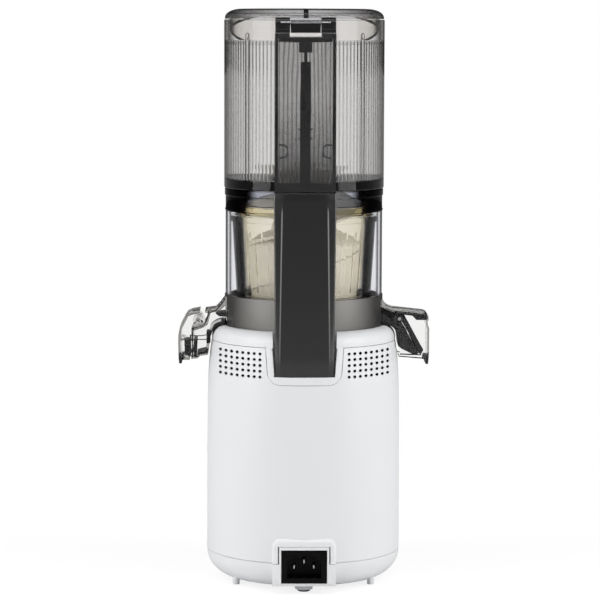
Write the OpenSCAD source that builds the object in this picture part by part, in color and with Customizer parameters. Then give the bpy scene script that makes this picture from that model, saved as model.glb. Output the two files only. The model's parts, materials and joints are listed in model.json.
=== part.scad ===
// Cold press juicer with a self-feeding hopper.
// Z is up and the origin is on the table under the drive axis. The rear, with the handle, the lid hinge
// and the mains inlet, is +Y. The juice spout is at +X, the pulp outlet at -X, the selector knob at -Y.

/* [Overall] */
// Outer radius of the bowl wall; the base, the strainers and the hopper follow it
bowl_r = 56; // [50:0.5:68]
// Height of the motor base above the table
base_h = 183.5; // [176:0.5:224]
// Height of the bowl above the deck it stands on
bowl_h = 101; // [92:0.5:122]
// Height of the hopper between the bowl and the lid
hopper_h = 118.9; // [95:0.1:140]
// Height of the lid
lid_h = 7.1; // [6.6:0.1:10]

/* [Base casing] */
// Wall thickness of the white casings
casing_wall = 2.5; // [2:0.1:3]
// Clear height of the underside above the table
underside_z = 3; // [2.5:0.1:5]
// Radius of the rounded foot edge
foot_edge_r = 18; // [14:0.5:21]
// Radius of the rounded shoulder under the bowl
shoulder_r = 8.8; // [7:0.1:11]
// How much the wall leans in from the foot to the shoulder
body_draft = 1.2; // [0:0.1:2]
// How much the wall curls in just below the shoulder
body_crown = 3; // [0:0.1:4]
// Width of the visible seams
seam = 0.4; // [0.2:0.1:0.6]
// Depth of the seat that the bowl stands in
seat_depth = 3.5; // [2.5:0.1:5]
// Clearance around the bowl in its seat
seat_gap = 0.4; // [0.3:0.1:0.8]

/* [Handle and notch] */
// Width of the handle at its top
handle_top_w = 43; // [34:0.5:48]
// Width of the handle at its foot
handle_foot_w = 41; // [32:0.5:46]
// How far the handle stands out from the bowl wall
handle_out = 10; // [9:0.5:14]
// How deep the notch for the handle reaches below the top of the base
notch_drop = 31.8; // [26:0.1:38]
// Clearance between handle and notch
notch_gap = 1; // [0.6:0.1:1.5]
// Width of the frame around the notch, seen from behind
frame_w = 3.6; // [3:0.1:5]

/* [Vents] */
// Diameter of a vent hole
vent_d = 2; // [1.5:0.1:2.6]
// Distance between vent holes
vent_pitch = 4; // [3.4:0.1:4.4]
// Vent holes in a row
vent_columns = 8; // [4:1:8]
// Rows of vent holes
vent_rows = 5; // [3:1:6]

/* [Mains inlet] */
// Width of the inlet flange
inlet_w = 32; // [31:0.5:34]
// Height of the inlet flange
inlet_h = 23.5; // [22.5:0.5:25]
// Height of the inlet flange above the table
inlet_z = 8; // [7.5:0.1:9]
// Distance between the two outer contact pins
pin_pitch = 14; // [14:1:14]
// Margin of the raised pad around the inlet
pad_margin = 6.3; // [5:0.1:8]

/* [Bowl and strainers] */
// Wall of the bowl
bowl_wall = 2.5; // [2:0.1:3]
// Height of the grey base moulding of the bowl
bowl_base_h = 25.3; // [22:0.1:30]
// Wall of the inner strainer
strainer_wall = 1.6; // [1.2:0.1:2]
// Clearance between the auger flights and the strainer
auger_gap = 0.8; // [0.5:0.1:1.5]
// Number of slots in the inner strainer
strainer_slots = 24; // [12:2:30]

/* [Spouts] */
// Reach of both spouts from the drive axis, beyond the bowl wall
spout_reach = 33.6; // [32:0.1:38]
// Width of the juice spout
spout_w = 27; // [22:0.5:32]
// Wall of the spouts
spout_wall = 1.8; // [1.4:0.1:2.2]
// Drop of the spout lips below the deck
lip_drop = 23.8; // [22:0.1:26]

/* [Hopper and lid] */
// Wall of the hopper
hopper_wall = 2.5; // [2:0.1:3]
// Width of the rear duct that guides the push rod
duct_w = 42.4; // [34:0.2:46]
// Wall of the rear duct
duct_wall = 2.2; // [1.8:0.1:2.6]
// Wall of the lid
lid_wall = 2.2; // [1.8:0.1:2.6]
// Radius of the hinge pin
hinge_pin_r = 1.5; // [1.2:0.1:2]
// Running clearance of pins and shafts in their bores
running_gap = 0.06; // [0.03:0.01:0.09]

/* [Drive] */
// Teeth of the pinion on the motor shaft and of the pinion on the layshaft
pinion_teeth = 12; // [11:1:14]
// Teeth of the wheel on the layshaft
wheel1_teeth = 68; // [60:1:70]
// Teeth of the wheel on the drive shaft
wheel2_teeth = 52; // [46:1:56]
// Distance that the teeth stay apart
backlash = 0.2; // [0.12:0.02:0.3]
// Radius of the drive shaft
shaft_r = 6; // [5.5:0.1:6.5]
// Width across the flats of the hexagon that drives the auger
hex_af = 11; // [10:0.1:11.5]
// Radius of the motor shaft
motor_shaft_r = 3.9; // [3:0.1:4]
// Air gap between rotor and stator
air_gap = 0.6; // [0.4:0.1:1]

/* [Selector knob] */
// Radius of the knob
knob_r = 16; // [13:0.5:18]
// How far the knob stands out
knob_out = 14; // [11:0.5:18]
// Height of the knob's axis above the table
knob_z = 70; // [60:1:76]

/* [Hidden] */
$fn = 96;
big = 400;

// Base heights and radii
deck_z = base_h - seat_depth;
bowl_base_r = bowl_r + 0.6;
seat_r = bowl_base_r + seat_gap;
seam_top_r = seat_r + shoulder_r;
body_r = seam_top_r + body_draft + body_crown;
shoulder_axis_z = base_h - shoulder_r;
shoulder_seam_z = shoulder_axis_z - 2.2;
foot_axis_z = underside_z + foot_edge_r;
bottom_seam_z = foot_axis_z + 0.5;
straight_z = 40;
bay_r = body_r - casing_wall;

// Handle and notch
handle_y = bowl_r + handle_out;
handle_foot_z = base_h - notch_drop + 0.8;
notch_z = base_h - notch_drop;
pocket_y = bowl_r - 3;
handle_inner_y = pocket_y + notch_gap;
notch_top_w = handle_top_w + 2 * notch_gap;
notch_foot_w = handle_foot_w + 2 * notch_gap;
frame_outer_w = notch_top_w + 2 * frame_w;
frame_z = notch_z - 5.7;
frame_corner_r = 8.5;
rod_y = bowl_r + 4;
rod_w = 7.2;
rod_t = 4;

// Bowl, strainers and auger
bowl_top_z = deck_z + bowl_h;
bowl_wall_z = deck_z + bowl_base_h;
bowl_in_r = bowl_r - bowl_wall;
floor_t = 3;
hub_in_r = 10.6;
hub_out_r = 13;
ring_in_r = bowl_r - 14.5;
ring_out_r = ring_in_r + 2;
strainer_z = deck_z + 22;
rim_z = bowl_top_z - 19;
strainer_foot_r = ring_in_r - 1.1;
strainer_top_r = bowl_r - 11.4;
rim_r = bowl_r - 5.5;
neck_r = 9;

// Hopper and lid
hopper_r = bowl_r + 1;
hopper_in_r = hopper_r - hopper_wall;
joint_gap = 0.5;
hopper_z = bowl_top_z + joint_gap;
hopper_wall_z = hopper_z + 6.5;
hopper_top_z = hopper_z + hopper_h;
feed_r = bowl_r - 18;
lid_z = hopper_top_z + joint_gap;
lid_top_z = lid_z + lid_h;
lid_r = hopper_r - 0.5;
lid_edge_r = 11.5;
skirt_r = hopper_in_r - 1.3;
skirt_t = 1.5;
skirt_top_z = lid_z + 2.8;
hinge_y = hopper_r + 5;
hinge_z = lid_z - 2.7;
knuckle_r = 3.6;
knuckle_split = 10.4;
knuckle_end = duct_w / 2 - 0.3;
finger_slot = knuckle_split + 0.5;
finger_z = hinge_z - 8.6;
duct_top_z = hopper_top_z - 9.4;
duct_y = handle_y;

// Drive train: both stages share one centre distance, so the output is in line with the motor
bay_gap = 6.86;
axis_gap = (body_r - 3.3 - bay_gap) / (1.02 + wheel1_teeth / (pinion_teeth + wheel1_teeth));
module_1 = 2 * axis_gap / (pinion_teeth + wheel1_teeth);
module_2 = 2 * axis_gap / (pinion_teeth + wheel2_teeth);
wheel_tip = 0.7;
gearbox_in_r = module_1 * (wheel1_teeth / 2 + wheel_tip) + 1.3;
gearbox_out_r = gearbox_in_r + 2.5;
lay_r = 3;
lay_hub_r = module_2 * (pinion_teeth / 2 + 1) + 0.8;

// Motor stack, measured down from the deck so that the gearbox hangs from it
gearbox_top_z = deck_z - 41;
gearbox_z = gearbox_top_z - 32;
stage2_z = gearbox_z + 14;
motor_top_z = gearbox_z;
stack_z = motor_top_z - 47;
stack_h = 36;
motor_foot_z = stack_z - 11;
motor_r = body_r - 32;
rotor_r = motor_r * 0.54;
bracket_w = 2 * motor_r - 2;
bolt_place = motor_r * 0.765;
bearing_r = 8;
post_x = [axis_gap / 2 - 28, axis_gap / 2 + 28];
post_y = gearbox_out_r + 2.5;

// Spouts: sections are drawn as distance from the drive axis and height
tip_r = bowl_r + spout_reach;
lip_z = deck_z - lip_drop;
cap_pivot = [bowl_r + 19.5, deck_z + 7.8];
flap_pivot = [bowl_r + 12.3, deck_z + 8.2];

// ---------- Shared shapes ----------

// Points of an arc with its own radius in each direction, from angle a0 to a1
function arc(cx, cy, rx, ry, a0, a1, n) =
    [for (i = [0:n]) let (a = a0 + (a1 - a0) * i / n) [cx + rx * cos(a), cy + ry * sin(a)]];

// Outer radius of the motor base at a height above the rounded foot
function body_t(z) = max(0, (z - straight_z) / (shoulder_seam_z - straight_z));
function body_rad(z) = body_r - body_draft * body_t(z) - body_crown * pow(body_t(z), 8);

// Heights that follow the wall, closer together near the shoulder
function wall_z(z0, z1, n) = [for (i = [0:n]) z0 + (z1 - z0) * (1 - pow(1 - i / n, 1.8))];

function reverse(v) = [for (i = [len(v) - 1:-1:0]) v[i]];

// A plate standing in the XZ plane from y0 to y1
module plate_y(y0, y1) {
    translate([0, y1, 0]) rotate([90, 0, 0]) linear_extrude(y1 - y0) children();
}

// A box given by its corners
module box(lo, hi) {
    translate(lo) cube(hi - lo);
}

// A round bar along Y
module bar_y(r, x, z, y0, y1) {
    translate([x, y0, z]) rotate([-90, 0, 0]) cylinder(r = r, h = y1 - y0);
}

// A round bar along X
module bar_x(r, y, z, x0, x1) {
    translate([x0, y, z]) rotate([0, 90, 0]) cylinder(r = r, h = x1 - x0);
}

// A tube around the Z axis
module tube(r_in, r_out, z0, z1) {
    translate([0, 0, z0]) linear_extrude(z1 - z0) difference() {
        circle(r_out);
        circle(r_in);
    }
}

module at_angles(angles, radius) {
    for (a = angles) rotate(a) translate([radius, 0, 0]) children();
}

// ---------- Motor base casing ----------

module wall_ring(z0, z1) {
    heights = wall_z(z0, z1, 12);
    rotate_extrude() polygon(concat(
        [for (z = heights) [body_rad(z), z]],
        reverse([for (z = heights) [body_rad(z) - casing_wall, z]])
    ));
}

module wall_solid(z0, z1) {
    heights = wall_z(z0, z1, 12);
    rotate_extrude() polygon(concat([for (z = heights) [body_rad(z), z]], [[0, z1], [0, z0]]));
}

// Outline of the frame around the notch, in the XZ plane, grown by a margin
module frame_outline(grow, top_z) {
    w = frame_outer_w / 2 + grow;
    r = frame_corner_r + grow;
    polygon(concat(
        [[-w, top_z]],
        arc(-w + r, frame_z - grow + r, r, r, 180, 270, 6),
        arc(w - r, frame_z - grow + r, r, r, 270, 360, 6),
        [[w, top_z]]
    ));
}

pad_w = inlet_w + 2 * pad_margin;
pad_y = body_r;
pad_z = inlet_z - 2;
pad_top_z = inlet_z + inlet_h + pad_margin;
tongue_w = inlet_w + 3;
tongue_z = inlet_z + inlet_h + 1.5;
pad_root_y = body_r - 11;

module pad_outline(z0) {
    w = pad_w / 2;
    r = 5;
    polygon(concat([[-w, z0], [w, z0]],
        arc(w - r, pad_top_z - r, r, r, 0, 90, 5), arc(-w + r, pad_top_z - r, r, r, 90, 180, 5)));
}

module vent_holes(side) {
    x0 = frame_outer_w / 2 + 5;
    z0 = frame_z + 6.3;
    for (i = [0:vent_columns - 1], j = [0:vent_rows - 1])
        bar_y(vent_d / 2, side * (x0 + i * vent_pitch), z0 + j * vent_pitch, 20, body_r);
}

screw_r = body_r - 20;
screw_angles = [30, 150, 270];
screw_boss_top = bottom_seam_z + 18;

module body_shell() {
    color("whitesmoke") difference() {
        union() {
            wall_ring(bottom_seam_z + seam, shoulder_seam_z);
            plate_y(body_r - 7, pad_y) pad_outline(bottom_seam_z + seam);
            at_angles(screw_angles, screw_r) difference() {
                union() {
                    translate([0, 0, bottom_seam_z + seam])
                        cylinder(r = 4, h = screw_boss_top - bottom_seam_z);
                    box([3, -1, bottom_seam_z + seam], [19, 1, screw_boss_top]);
                }
                cylinder(r = 1.3, h = screw_boss_top);
            }
        }
        plate_y(20, body_r + 1) frame_outline(seam, shoulder_seam_z + 1);
        vent_holes(1);
        vent_holes(-1);
        box([-tongue_w / 2 - seam, 40, 0], [tongue_w / 2 + seam, body_r + 1, tongue_z + seam]);
        bar_y(knob_r + 3.1, 0, knob_z, -body_r - 1, -body_r + 20);
    }
}

module notch_solid() {
    plate_y(pocket_y, body_r + 5) polygon([
        [-notch_foot_w / 2, notch_z], [notch_foot_w / 2, notch_z],
        [notch_top_w / 2, base_h + 1], [-notch_top_w / 2, base_h + 1]
    ]);
}

module shoulder_cover() {
    a_in = asin((deck_z - 2.5 - shoulder_axis_z) / (shoulder_r - casing_wall));
    in_r = shoulder_r - casing_wall;
    lip_r = seam_top_r - casing_wall - 0.1;
    pocket_w = notch_top_w / 2 + casing_wall;
    pin_hole_r = 2.6;
    color("white") difference() {
        union() {
            rotate_extrude() polygon(concat(
                [[seam_top_r, shoulder_seam_z + seam]],
                arc(seat_r, shoulder_axis_z, shoulder_r, shoulder_r, 0, 90, 10),
                [[seat_r, deck_z], [10, deck_z], [10, deck_z - 2.5]],
                reverse(arc(seat_r, shoulder_axis_z, in_r, in_r, 0, a_in, 4)),
                [[lip_r - 1.5, shoulder_axis_z], [lip_r - 1.5, shoulder_seam_z - 3],
                 [lip_r, shoulder_seam_z - 3], [lip_r, shoulder_seam_z + seam]]
            ));
            intersection() {
                wall_ring(frame_z - 2, shoulder_seam_z + seam);
                plate_y(20, body_r + 1) frame_outline(0, shoulder_seam_z + seam);
            }
            intersection() {
                box([-pocket_w, pocket_y - casing_wall, notch_z - casing_wall],
                    [pocket_w, body_r + 1, shoulder_axis_z]);
                wall_solid(notch_z - 10, shoulder_seam_z);
            }
            box([-pocket_w, pocket_y - casing_wall, shoulder_seam_z - 1],
                [pocket_w, seat_r, deck_z - 2]);
            for (x = post_x, y = [-post_y, post_y])
                translate([x, y, gearbox_top_z]) difference() {
                    cylinder(r = 5, h = deck_z - 2 - gearbox_top_z);
                    cylinder(r = 1.92, h = 24, center = true);
                }
            for (s = [-1, 1])
                box([s * 11.5 - 1, rod_y - 4, notch_z - 16], [s * 11.5 + 1, rod_y + 3, notch_z - 2]);
        }
        notch_solid();
        tube(0.1, seat_r, deck_z, base_h + 1);
        bar_z(pin_hole_r, 0, rod_y, notch_z - 5, notch_z + 1);
    }
}

// A round bar along Z
module bar_z(r, x, y, z0, z1) {
    translate([x, y, z0]) cylinder(r = r, h = z1 - z0);
}

foot_r = 5;
foot_ring_r = body_r - 14.5;
foot_angles = [90, 210, 330];
post_foot_r = 2.75;

module bottom_cover() {
    in_r = foot_edge_r - casing_wall;
    edge = body_r - foot_edge_r;
    color("white") difference() {
        union() {
            rotate_extrude() polygon(concat(
                [[0, underside_z]],
                arc(edge, foot_axis_z, foot_edge_r, foot_edge_r, -90, 0, 10),
                [[body_r, bottom_seam_z], [bay_r, bottom_seam_z]],
                reverse(arc(edge, foot_axis_z, in_r, in_r, -90, 0, 10)),
                [[0, underside_z + casing_wall]]
            ));
            box([-pad_w / 2, pad_root_y, pad_z], [pad_w / 2, pad_y, bottom_seam_z]);
            box([-tongue_w / 2, pad_root_y, pad_z], [tongue_w / 2, pad_y, tongue_z]);
            at_angles(foot_angles, foot_ring_r)
                bar_z(foot_r + 1.2, 0, 0, underside_z - 1.4, underside_z + casing_wall);
            at_angles([35, 145], body_r - 11.2) bar_z(post_foot_r, 0, 0, 0.4, underside_z + 4);
            at_angles(screw_angles, screw_r)
                bar_z(4, 0, 0, underside_z + 1, bottom_seam_z);
            for (x = [-24, 24], y = [-38, -8]) bar_z(2.5, x, y, underside_z + 1, board_z);
        }
        box([-inlet_w / 2 - 0.1, pad_y - 3.1, inlet_z - 0.1],
            [inlet_w / 2 + 0.1, pad_y + 1, inlet_z + inlet_h + 0.1]);
        box([-inlet_body_w / 2 - 0.1, pad_root_y - 9, inlet_body_z - 0.1],
            [inlet_body_w / 2 + 0.1, pad_y + 1, inlet_body_z + inlet_body_h + 0.1]);
        at_angles(foot_angles, foot_ring_r) bar_z(foot_r + 0.05, 0, 0, -1, underside_z + 0.6);
        at_angles(screw_angles, screw_r) {
            bar_z(1.7, 0, 0, -1, bottom_seam_z + 1);
            bar_z(3.2, 0, 0, -1, underside_z + 4);
        }
    }
}

module rubber_feet() {
    color("dimgray") at_angles(foot_angles, foot_ring_r) union() {
        bar_z(foot_r, 0, 0, 0.8, underside_z + 0.5);
        bar_z(foot_r - 0.8, 0, 0, 0, 1);
    }
}

module bottom_screws() {
    color("silver") at_angles(screw_angles, screw_r) difference() {
        union() {
            bar_z(3, 0, 0, underside_z + 1.6, underside_z + 4);
            bar_z(1.3, 0, 0, underside_z + 3, screw_boss_top - 4);
        }
        box([-2, -0.5, 0], [2, 0.5, underside_z + 2.6]);
    }
}

// ---------- Mains inlet and electrics ----------

inlet_body_w = inlet_w - 5;
inlet_body_h = inlet_h - 3.5;
inlet_body_z = inlet_z + 1.75;
socket_w = 24;
socket_h = 16.4;
socket_z = inlet_z + (inlet_h - socket_h) / 2;
socket_depth = 15;
pin_z = socket_z + 6.2;
inlet_y = pad_y - 0.6;

module mains_inlet() {
    cut = 4.5;
    color("black") difference() {
        union() {
            box([-inlet_w / 2, pad_y - 3, inlet_z], [inlet_w / 2, inlet_y, inlet_z + inlet_h]);
            box([-inlet_body_w / 2, inlet_y - socket_depth - 3, inlet_body_z],
                [inlet_body_w / 2, pad_y - 2.5, inlet_body_z + inlet_body_h]);
        }
        plate_y(inlet_y - socket_depth, inlet_y + 1) polygon([
            [-socket_w / 2, socket_z], [socket_w / 2, socket_z],
            [socket_w / 2, socket_z + socket_h - cut], [socket_w / 2 - cut, socket_z + socket_h],
            [-socket_w / 2 + cut, socket_z + socket_h], [-socket_w / 2, socket_z + socket_h - cut]
        ]);
        pin_shapes(0.02);
    }
}

// Contact blades, each 2 by 4 mm, grown by a fit so that they can also cut their slots
module pin_shapes(fit) {
    for (p = [[-pin_pitch / 2, pin_z], [pin_pitch / 2, pin_z], [0, pin_z + 4]])
        box([p[0] - 1 - fit, inlet_y - socket_depth - 9, p[1] - 2 - fit],
            [p[0] + 1 + fit, inlet_y - 2, p[1] + 2 + fit]);
}

module inlet_pins() {
    color("silver") pin_shapes(0);
}

board_z = underside_z + 11;

module circuit_board() {
    color("seagreen") difference() {
        box([-29, -43, board_z], [29, -3, board_z + 1.6]);
        for (x = [-24, 24], y = [-38, -8]) bar_z(1.6, x, y, board_z - 1, board_z + 3);
    }
}

module capacitor() {
    color("slategray") translate([-17, -22, board_z + 1.6 + 6.5]) rotate([0, 90, 0])
        cylinder(r = 6.5, h = 30);
}

module knob_bezel() {
    color("whitesmoke") difference() {
        bar_y(knob_r + 3, 0, knob_z, -body_r - 1.5, -body_r + 5);
        bar_y(5.3, 0, knob_z, -body_r - 2, -body_r + 6);
    }
}

module rotary_switch() {
    color("dimgray") difference() {
        union() {
            box([-12, -body_r + 5.2, knob_z - 12], [12, -body_r + 18, knob_z + 12]);
            bar_y(5.1, 0, knob_z, -body_r - 1.2, -body_r + 6);
        }
        bar_y(3 + running_gap, 0, knob_z, -body_r - 2, -body_r + 14);
    }
}

module selector_knob() {
    front = -body_r - 2 - knob_out;
    color("gainsboro") union() {
        bar_y(knob_r, 0, knob_z, front + 6, -body_r - 2);
        bar_y(knob_r - 1.2, 0, knob_z, front + 4.6, front + 6.5);
        box([-3, front, knob_z - knob_r + 3], [3, front + 5, knob_z + knob_r - 3]);
        bar_y(3, 0, knob_z, -body_r - 2.5, -body_r + 12);
    }
}

module microswitch() {
    color("black") union() {
        box([-10, rod_y - 4, notch_z - 18], [10, rod_y + 3, notch_z - 7.5]);
        box([-3, rod_y - 1.5, notch_z - 8], [3, rod_y + 1.5, notch_z - 6]);
    }
}

module switch_pin() {
    color("white") union() {
        bar_z(4, 0, rod_y, notch_z - 5.7, notch_z - 4.7);
        bar_z(2, 0, rod_y, notch_z - 5, handle_foot_z + 0.5);
    }
}

// ---------- Motor ----------

module bracket(z0, z1) {
    difference() {
        box([-bracket_w / 2, -bracket_w / 2, z0], [bracket_w / 2, bracket_w / 2, z1]);
        bar_z(bearing_r, 0, 0, z0 - 1, z1 + 1);
        for (x = [-bolt_place, bolt_place], y = [-bolt_place, bolt_place])
            bar_z(1.92, x, y, z0 - 1, z1 + 1);
    }
}

module motor_bracket_low() {
    color("silver") bracket(motor_foot_z, motor_foot_z + 5);
}

module motor_bracket_top() {
    color("silver") bracket(motor_top_z - 5, motor_top_z);
}

module motor_bolts() {
    color("gray") for (x = [-bolt_place, bolt_place], y = [-bolt_place, bolt_place]) union() {
        bar_z(3.3, x, y, motor_foot_z - 2.5, motor_foot_z);
        bar_z(1.9, x, y, motor_foot_z - 1, motor_top_z - 0.2);
    }
}

module motor_bearings() {
    color("lightsteelblue") union() {
        tube(motor_shaft_r + running_gap, bearing_r, motor_foot_z - 1, motor_foot_z + 5);
        tube(motor_shaft_r + running_gap, bearing_r, motor_top_z - 4, motor_top_z + 2);
    }
}

module stator() {
    color("slategray") translate([0, 0, stack_z]) linear_extrude(stack_h) difference() {
        circle(motor_r);
        circle(rotor_r + air_gap);
        for (a = [0:30:330]) rotate(a) translate([rotor_r + 4, -2.5]) square([8, 5]);
    }
}

module windings() {
    color("peru") for (z = [stack_z - 5.6, stack_z + stack_h + 0.1])
        tube(rotor_r + 3.5, motor_r - 2.5, z, z + 5.5);
}

module rotor() {
    color("gray") tube(motor_shaft_r, rotor_r, stack_z, stack_z + stack_h);
}

module motor_shaft() {
    teeth_z = gearbox_z + 4;
    color("silver") union() {
        bar_z(motor_shaft_r, 0, 0, motor_foot_z - 22, teeth_z + 0.1);
        translate([0, 0, teeth_z]) gear(module_1, pinion_teeth, 1, stage2_z - 0.8 - teeth_z, 0, 0);
    }
}

module cooling_fan() {
    z0 = motor_foot_z - 18;
    fan_r = motor_r - 6;
    color("darkgray") difference() {
        union() {
            bar_z(8, 0, 0, z0, z0 + 12);
            bar_z(fan_r, 0, 0, z0, z0 + 1.5);
            for (a = [0:40:320]) rotate(a) translate([0, -0.75, z0 + 1]) cube([fan_r - 1, 1.5, 10]);
        }
        bar_z(motor_shaft_r, 0, 0, z0 - 1, z0 + 20);
    }
}

// ---------- Gearbox ----------

// Involute function of a pressure angle, in degrees
function involute(a) = tan(a) * 180 / PI - a;
function flank_angle(base, r) = r <= base ? 0 : acos(base / r);

// Half the angle that a tooth takes up at a radius
function half_tooth(m, teeth, r) =
    let (pitch_r = m * teeth / 2, base = pitch_r * cos(20))
    90 / teeth - backlash / 2 / pitch_r * 180 / PI + involute(20) - involute(flank_angle(base, r));

// Tooth points at rising radii on one flank, then at falling radii on the other
function gear_points(m, teeth, tip, turn) =
    let (pitch_r = m * teeth / 2, root = pitch_r - m * 1.1, top = pitch_r + m * tip,
        flank = max(root + 0.01, pitch_r * cos(20)),
        radii = [root, flank, pitch_r, top])
    [for (k = [0:teeth - 1], side = [-1, 1], i = [0:3])
        let (r = side < 0 ? radii[i] : radii[3 - i],
            a = turn + k * 360 / teeth + side * half_tooth(m, teeth, r))
        r * [cos(a), sin(a)]];

module gear(m, teeth, tip, h, bore, turn) {
    linear_extrude(h) difference() {
        polygon(gear_points(m, teeth, tip, turn));
        if (bore > 0) circle(bore);
    }
}

// Two round ends joined by straight sides, around the motor axis and the layshaft
module gearbox_outline(r) {
    circle(r);
    translate([axis_gap, 0]) circle(r);
    translate([0, -r]) square([axis_gap, 2 * r]);
}

module gearbox_lugs(z0, z1) {
    for (x = post_x, y = [-post_y, post_y]) bar_z(5.5, x, y, z0, z1);
}

module gearbox_housing() {
    color("silver") difference() {
        union() {
            translate([0, 0, gearbox_z]) linear_extrude(29) gearbox_outline(gearbox_out_r);
            gearbox_lugs(gearbox_z + 22, gearbox_z + 29);
        }
        translate([0, 0, gearbox_z + 3]) linear_extrude(29) gearbox_outline(gearbox_in_r);
        bar_z(bearing_r + 0.05, 0, 0, gearbox_z - 1, gearbox_z + 4);
        bar_z(lay_r, axis_gap, 0, gearbox_z + 1, gearbox_z + 4);
        for (x = post_x, y = [-post_y, post_y]) bar_z(2.1, x, y, gearbox_z, gearbox_top_z);
    }
}

module gearbox_cover() {
    color("lightgray") difference() {
        union() {
            translate([0, 0, gearbox_top_z - 3]) linear_extrude(3) gearbox_outline(gearbox_out_r);
            gearbox_lugs(gearbox_top_z - 3, gearbox_top_z);
            bar_z(14, 0, 0, gearbox_top_z - 3, gearbox_top_z + 6);
        }
        bar_z(bush_r, 0, 0, gearbox_top_z - 4, gearbox_top_z + 7);
        bar_z(lay_r, axis_gap, 0, gearbox_top_z - 4, gearbox_top_z + 1);
        for (x = post_x, y = [-post_y, post_y]) bar_z(2.1, x, y, gearbox_z, gearbox_top_z + 1);
    }
}

module gearbox_screws() {
    color("gray") for (x = post_x, y = [-post_y, post_y]) difference() {
        union() {
            bar_z(3.6, x, y, gearbox_z + 19, gearbox_z + 22);
            bar_z(1.9, x, y, gearbox_z + 21, gearbox_top_z + 11);
        }
        bar_z(1.6, x, y, gearbox_z + 18, gearbox_z + 20.5);
    }
}

module layshaft() {
    color("silver") bar_z(lay_r, axis_gap, 0, gearbox_z + 1, gearbox_top_z);
}

module compound_gear() {
    color("gold") translate([axis_gap, 0, 0]) difference() {
        union() {
            translate([0, 0, gearbox_z + 5])
                gear(module_1, wheel1_teeth, wheel_tip, 7, 0, 180 + 180 / wheel1_teeth);
            translate([0, 0, gearbox_z + 4]) cylinder(r = lay_hub_r, h = 8);
            translate([0, 0, gearbox_z + 11]) gear(module_2, pinion_teeth, 1, 13, 0, 180);
        }
        bar_z(lay_r + running_gap, 0, 0, gearbox_z, gearbox_top_z);
    }
}

module output_gear() {
    color("goldenrod") difference() {
        union() {
            translate([0, 0, stage2_z])
                gear(module_2, wheel2_teeth, wheel_tip, 9, 0, 180 / wheel2_teeth);
            bar_z(11, 0, 0, stage2_z, gearbox_top_z - 4);
        }
        bar_z(shaft_r, 0, 0, stage2_z - 1, gearbox_top_z);
    }
}

bush_r = 10;

module output_bush() {
    color("goldenrod") tube(shaft_r + running_gap, bush_r, gearbox_top_z - 3, gearbox_top_z + 6);
}

hex_z = deck_z + 2;
shaft_top_z = deck_z + 42;

module drive_shaft() {
    color("silver") union() {
        bar_z(shaft_r, 0, 0, stage2_z, hex_z);
        translate([0, 0, hex_z - 0.01])
            cylinder(r = hex_af / 2 / cos(30), h = shaft_top_z - hex_z, $fn = 6);
    }
}

module deck_seal() {
    color("dimgray") tube(shaft_r + running_gap, 10, deck_z - 3.2, deck_z + 1.2);
}

// ---------- Bowl ----------

module bowl_base() {
    color("gray") difference() {
        rotate_extrude() polygon([
            [hub_in_r, deck_z], [bowl_base_r, deck_z], [bowl_base_r, bowl_wall_z],
            [bowl_in_r, bowl_wall_z], [bowl_in_r, deck_z + floor_t],
            [ring_out_r, deck_z + floor_t], [ring_out_r, strainer_z + 1],
            [ring_in_r, strainer_z + 1], [ring_in_r, deck_z + floor_t],
            [hub_out_r, deck_z + floor_t], [hub_out_r, deck_z + 16], [hub_in_r, deck_z + 16]
        ]);
        box([ring_out_r + 1, -9, deck_z + 4.4], [bowl_r + 5, 9, deck_z + 13]);
        box([-bowl_r - 5, -9, deck_z + 4.4], [-ring_in_r + 1, 9, deck_z + 14]);
    }
}

module bowl() {
    color("dimgray", 0.6) rotate_extrude() polygon([
        [bowl_in_r, bowl_wall_z], [bowl_r, bowl_wall_z], [bowl_r, bowl_top_z - 5],
        [bowl_base_r, bowl_top_z - 4], [bowl_base_r, bowl_top_z], [bowl_in_r, bowl_top_z]
    ]);
}

module handle_section(y0) {
    w = handle_top_w / 2 + 1;
    bevel = 4.5;
    polygon([[-w, y0], [w, y0], [w, handle_y - bevel], [w - bevel - 1, handle_y],
        [-w + bevel + 1, handle_y], [-w, handle_y - bevel]]);
}

module bowl_handle() {
    split_z = base_h + 0.6;
    color("#333336") difference() {
        intersection() {
            union() {
                translate([0, 0, handle_foot_z]) linear_extrude(split_z + 1 - handle_foot_z)
                    handle_section(handle_inner_y);
                translate([0, 0, split_z]) linear_extrude(bowl_top_z - split_z)
                    handle_section(bowl_r - 6);
            }
            plate_y(0, body_r + 9) polygon([
                [-handle_foot_w / 2, handle_foot_z], [handle_foot_w / 2, handle_foot_z],
                [handle_top_w / 2, bowl_top_z], [-handle_top_w / 2, bowl_top_z]
            ]);
        }
        bar_z(bowl_base_r, 0, 0, deck_z - 1, bowl_top_z + 1);
        box([-rod_w / 2 - 0.4, rod_y - rod_t / 2 - 0.4, handle_foot_z - 1],
            [rod_w / 2 + 0.4, rod_y + rod_t / 2 + 0.4, bowl_top_z + 1]);
    }
}

module handle_rod() {
    color("black") box([-rod_w / 2, rod_y - rod_t / 2, handle_foot_z + 0.8],
        [rod_w / 2, rod_y + rod_t / 2, bowl_top_z + 0.1]);
}

module bowl_seal() {
    color("dimgray") tube(neck_r + running_gap, hub_in_r, deck_z + 8, deck_z + 14);
}

// Inner radius of the inner strainer at a height
function strainer_in(z) =
    strainer_foot_r - strainer_wall
    + (strainer_top_r - strainer_foot_r) * (z - strainer_z) / (rim_z - strainer_z);

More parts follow.
